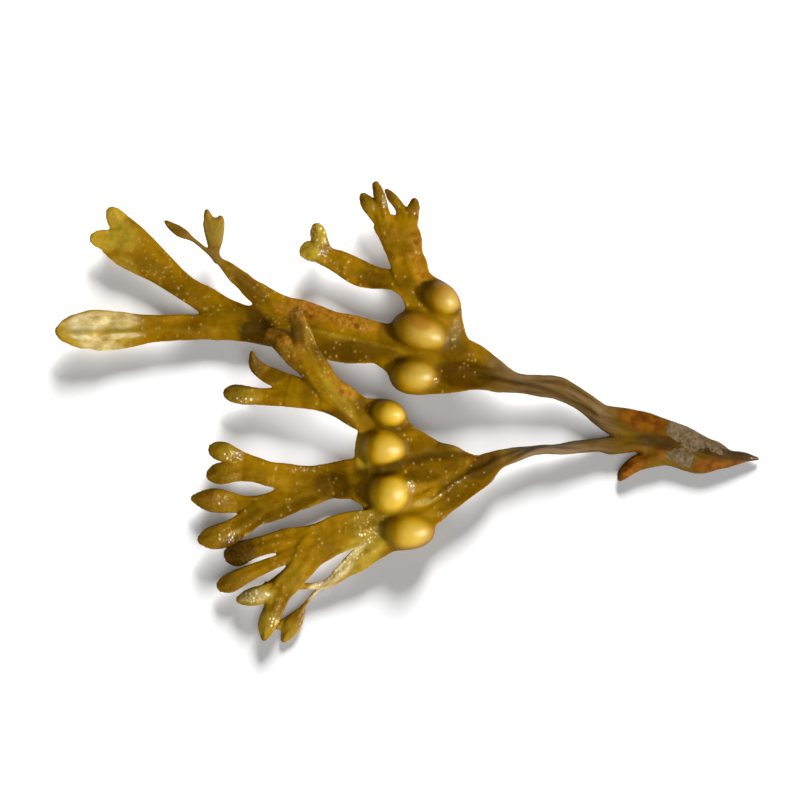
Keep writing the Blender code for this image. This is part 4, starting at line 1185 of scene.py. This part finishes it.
PIECES = {  # name: (material slot, CAD nodes that it stands for)
    "torn_base": ("torn_base", ("base",)),
    "stipe_upper": ("stipe", ("upper_stipe",)),
    "stipe_lower": ("stipe", ("lower_stipe",)),
    "bladders_upper": ("blade", ("upper_bladder_blade", "receptacle_arm", "finger_arm")),
    "blades_upper": ("blade", ("long_blade", "notched_blade", "tongue_blade", "thin_shoot")),
    "bladders_lower": ("blade", ("lower_bladder_blade", "crossing_blade")),
    "blades_lower": ("blade", ("middle_blade", "bottom_blade", "strap_strand")),
}
# The ribbons, by the starts of their names, that go on into a blade piece beyond the given x.
OUTER = {
    "upper": (("upper axis", "notched", "thin", "heart"), -2.8),
    "lower": (("lower axis", "middle", "bottom", "strap", "strand"), -9.4),
}


def shared_out(points, quads, owner):
    """The name of the piece that each quad belongs to."""
    x = points[quads, 0].mean(axis=1)
    owner = owner[quads[:, 0]]
    names = np.full(len(quads), "torn_base", dtype="U20")
    upper = owner < UPPER_SPINES
    for branch, here in (("upper", upper), ("lower", ~upper)):
        starts, end = OUTER[branch]
        outer = np.array([name.startswith(starts) for name in SPINES])[owner]
        names[here & (x <= BASE_START)] = "stipe_" + branch
        names[here & (x <= BLADE_START[branch])] = "bladders_" + branch
        names[here & outer & (x <= end)] = "blades_" + branch
    return names


def build_frond():
    """The whole frond in one surface, and then its pieces."""
    rng = np.random.default_rng(SEED)
    ribbons = [ribbon(name, stations, rng) for name, stations in SPINES.items()]
    every = np.vstack([r["points"] for r in ribbons])
    field = Field(every.min(0) - SPARE, every.max(0) + SPARE)
    for r in ribbons:
        add_ribbon(field, r)
    for b in BLADDERS:
        add_bladder(field, b)
    height = field.low[2] + VOXEL * np.arange(field.shape[2], dtype=np.float32)
    field.values = np.maximum(field.values, FLOOR_GAP - height)
    points, quads = meshed(field)
    points, owner, looks = finished(relaxed(points, quads), quads, ribbons, rng)
    points[:, 2] = np.maximum(points[:, 2], FLOOR_GAP)
    normals = vertex_normals(points, quads)
    names = shared_out(points, quads, owner)
    skins = {
        "torn_base": skin("base_skin", LEATHERY, with_base=True),
        "stipe": skin("stipe_skin", LEATHERY, with_blade=True, with_base=True),
        "blade": skin("blade_skin", FLESHY, with_blade=True),
    }
    pieces = []
    for name, (slot, nodes) in PIECES.items():
        piece = closed_piece(name, points, quads[names == name], normals, looks, skins[slot])
        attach(piece, "root")
        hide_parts(*nodes)
        pieces.append(piece)
    return pieces


# Floor, light and camera


def floor_material():
    p = Paint(bpy.data.materials.new("floor"))
    lift = p.times(p.made("LightPath")["Is Camera Ray"], FLOOR_LIFT)
    return p.finish({**PAPER, "Emission Strength": lift})


def add_floor():
    s = FLOOR_SIZE / 2
    mesh = bpy.data.meshes.new("floor")
    mesh.from_pydata([(-s, -s, 0), (s, -s, 0), (s, s, 0), (-s, s, 0)], [], [(0, 1, 2, 3)])
    floor = placed("floor", mesh, floor_material())
    return floor


def towards(azimuth, elevation):
    a, e = math.radians(azimuth), math.radians(elevation)
    return (math.cos(e) * math.cos(a), math.cos(e) * math.sin(a), math.sin(e))


# Each lamp: the way to it from the frond, its distance and size in metres, its power, and
# whether it shows in reflections.
LAMPS = {
    "key": (towards(-14, 34), 0.8, 0.1, 7.9, True),
    "fill": ((0.15, -0.5, 1.0), 0.9, 0.9, 3.5, False),
    "floor_lamp": (towards(81, 26), 1.2, 0.48, 39.0, True),
}


def area_light(name, lit):
    """One of the LAMPS; it shines on the given objects only, or on everything if there are none."""
    direction, distance, size, power, glossy = LAMPS[name]
    lamp = bpy.data.lights.new(name, "AREA")
    lamp.shape = "DISK"
    lamp.size = size
    lamp.energy = power
    thing = placed(name, lamp)
    direction = Vector(direction).normalized()
    thing.location = direction * distance
    thing.rotation_euler = direction.to_track_quat("Z", "Y").to_euler()
    thing.visible_glossy = glossy
    if lit:
        group = bpy.data.collections.new(name + "_lit")
        for one in lit:
            group.objects.link(one)
        thing.light_linking.receiver_collection = group


def add_world():
    """White to the camera, and nearly dark to everything else."""
    p = Paint(bpy.data.worlds.new("studio"))
    level = p.between(p.made("LightPath")["Is Camera Ray"], 0.0, 1.0, WORLD_LEVEL, 1.0)
    bpy.context.scene.world = p.finish({"Color": WHITE, "Strength": level}, "Background")


def add_camera():
    data = bpy.data.cameras.new("camera")
    data.lens = CAMERA_LENS
    data.sensor_width = CAMERA_SENSOR
    data.clip_start, data.clip_end = CAMERA_SEES
    camera = placed("camera", data)
    camera.location = CAMERA_AT
    bpy.context.scene.camera = camera


bpy.context.scene.view_settings.view_transform = "Standard"
frond = build_frond()
floor = add_floor()
add_world()
area_light("key", frond)
area_light("fill", ())
area_light("floor_lamp", (floor,))
add_camera()
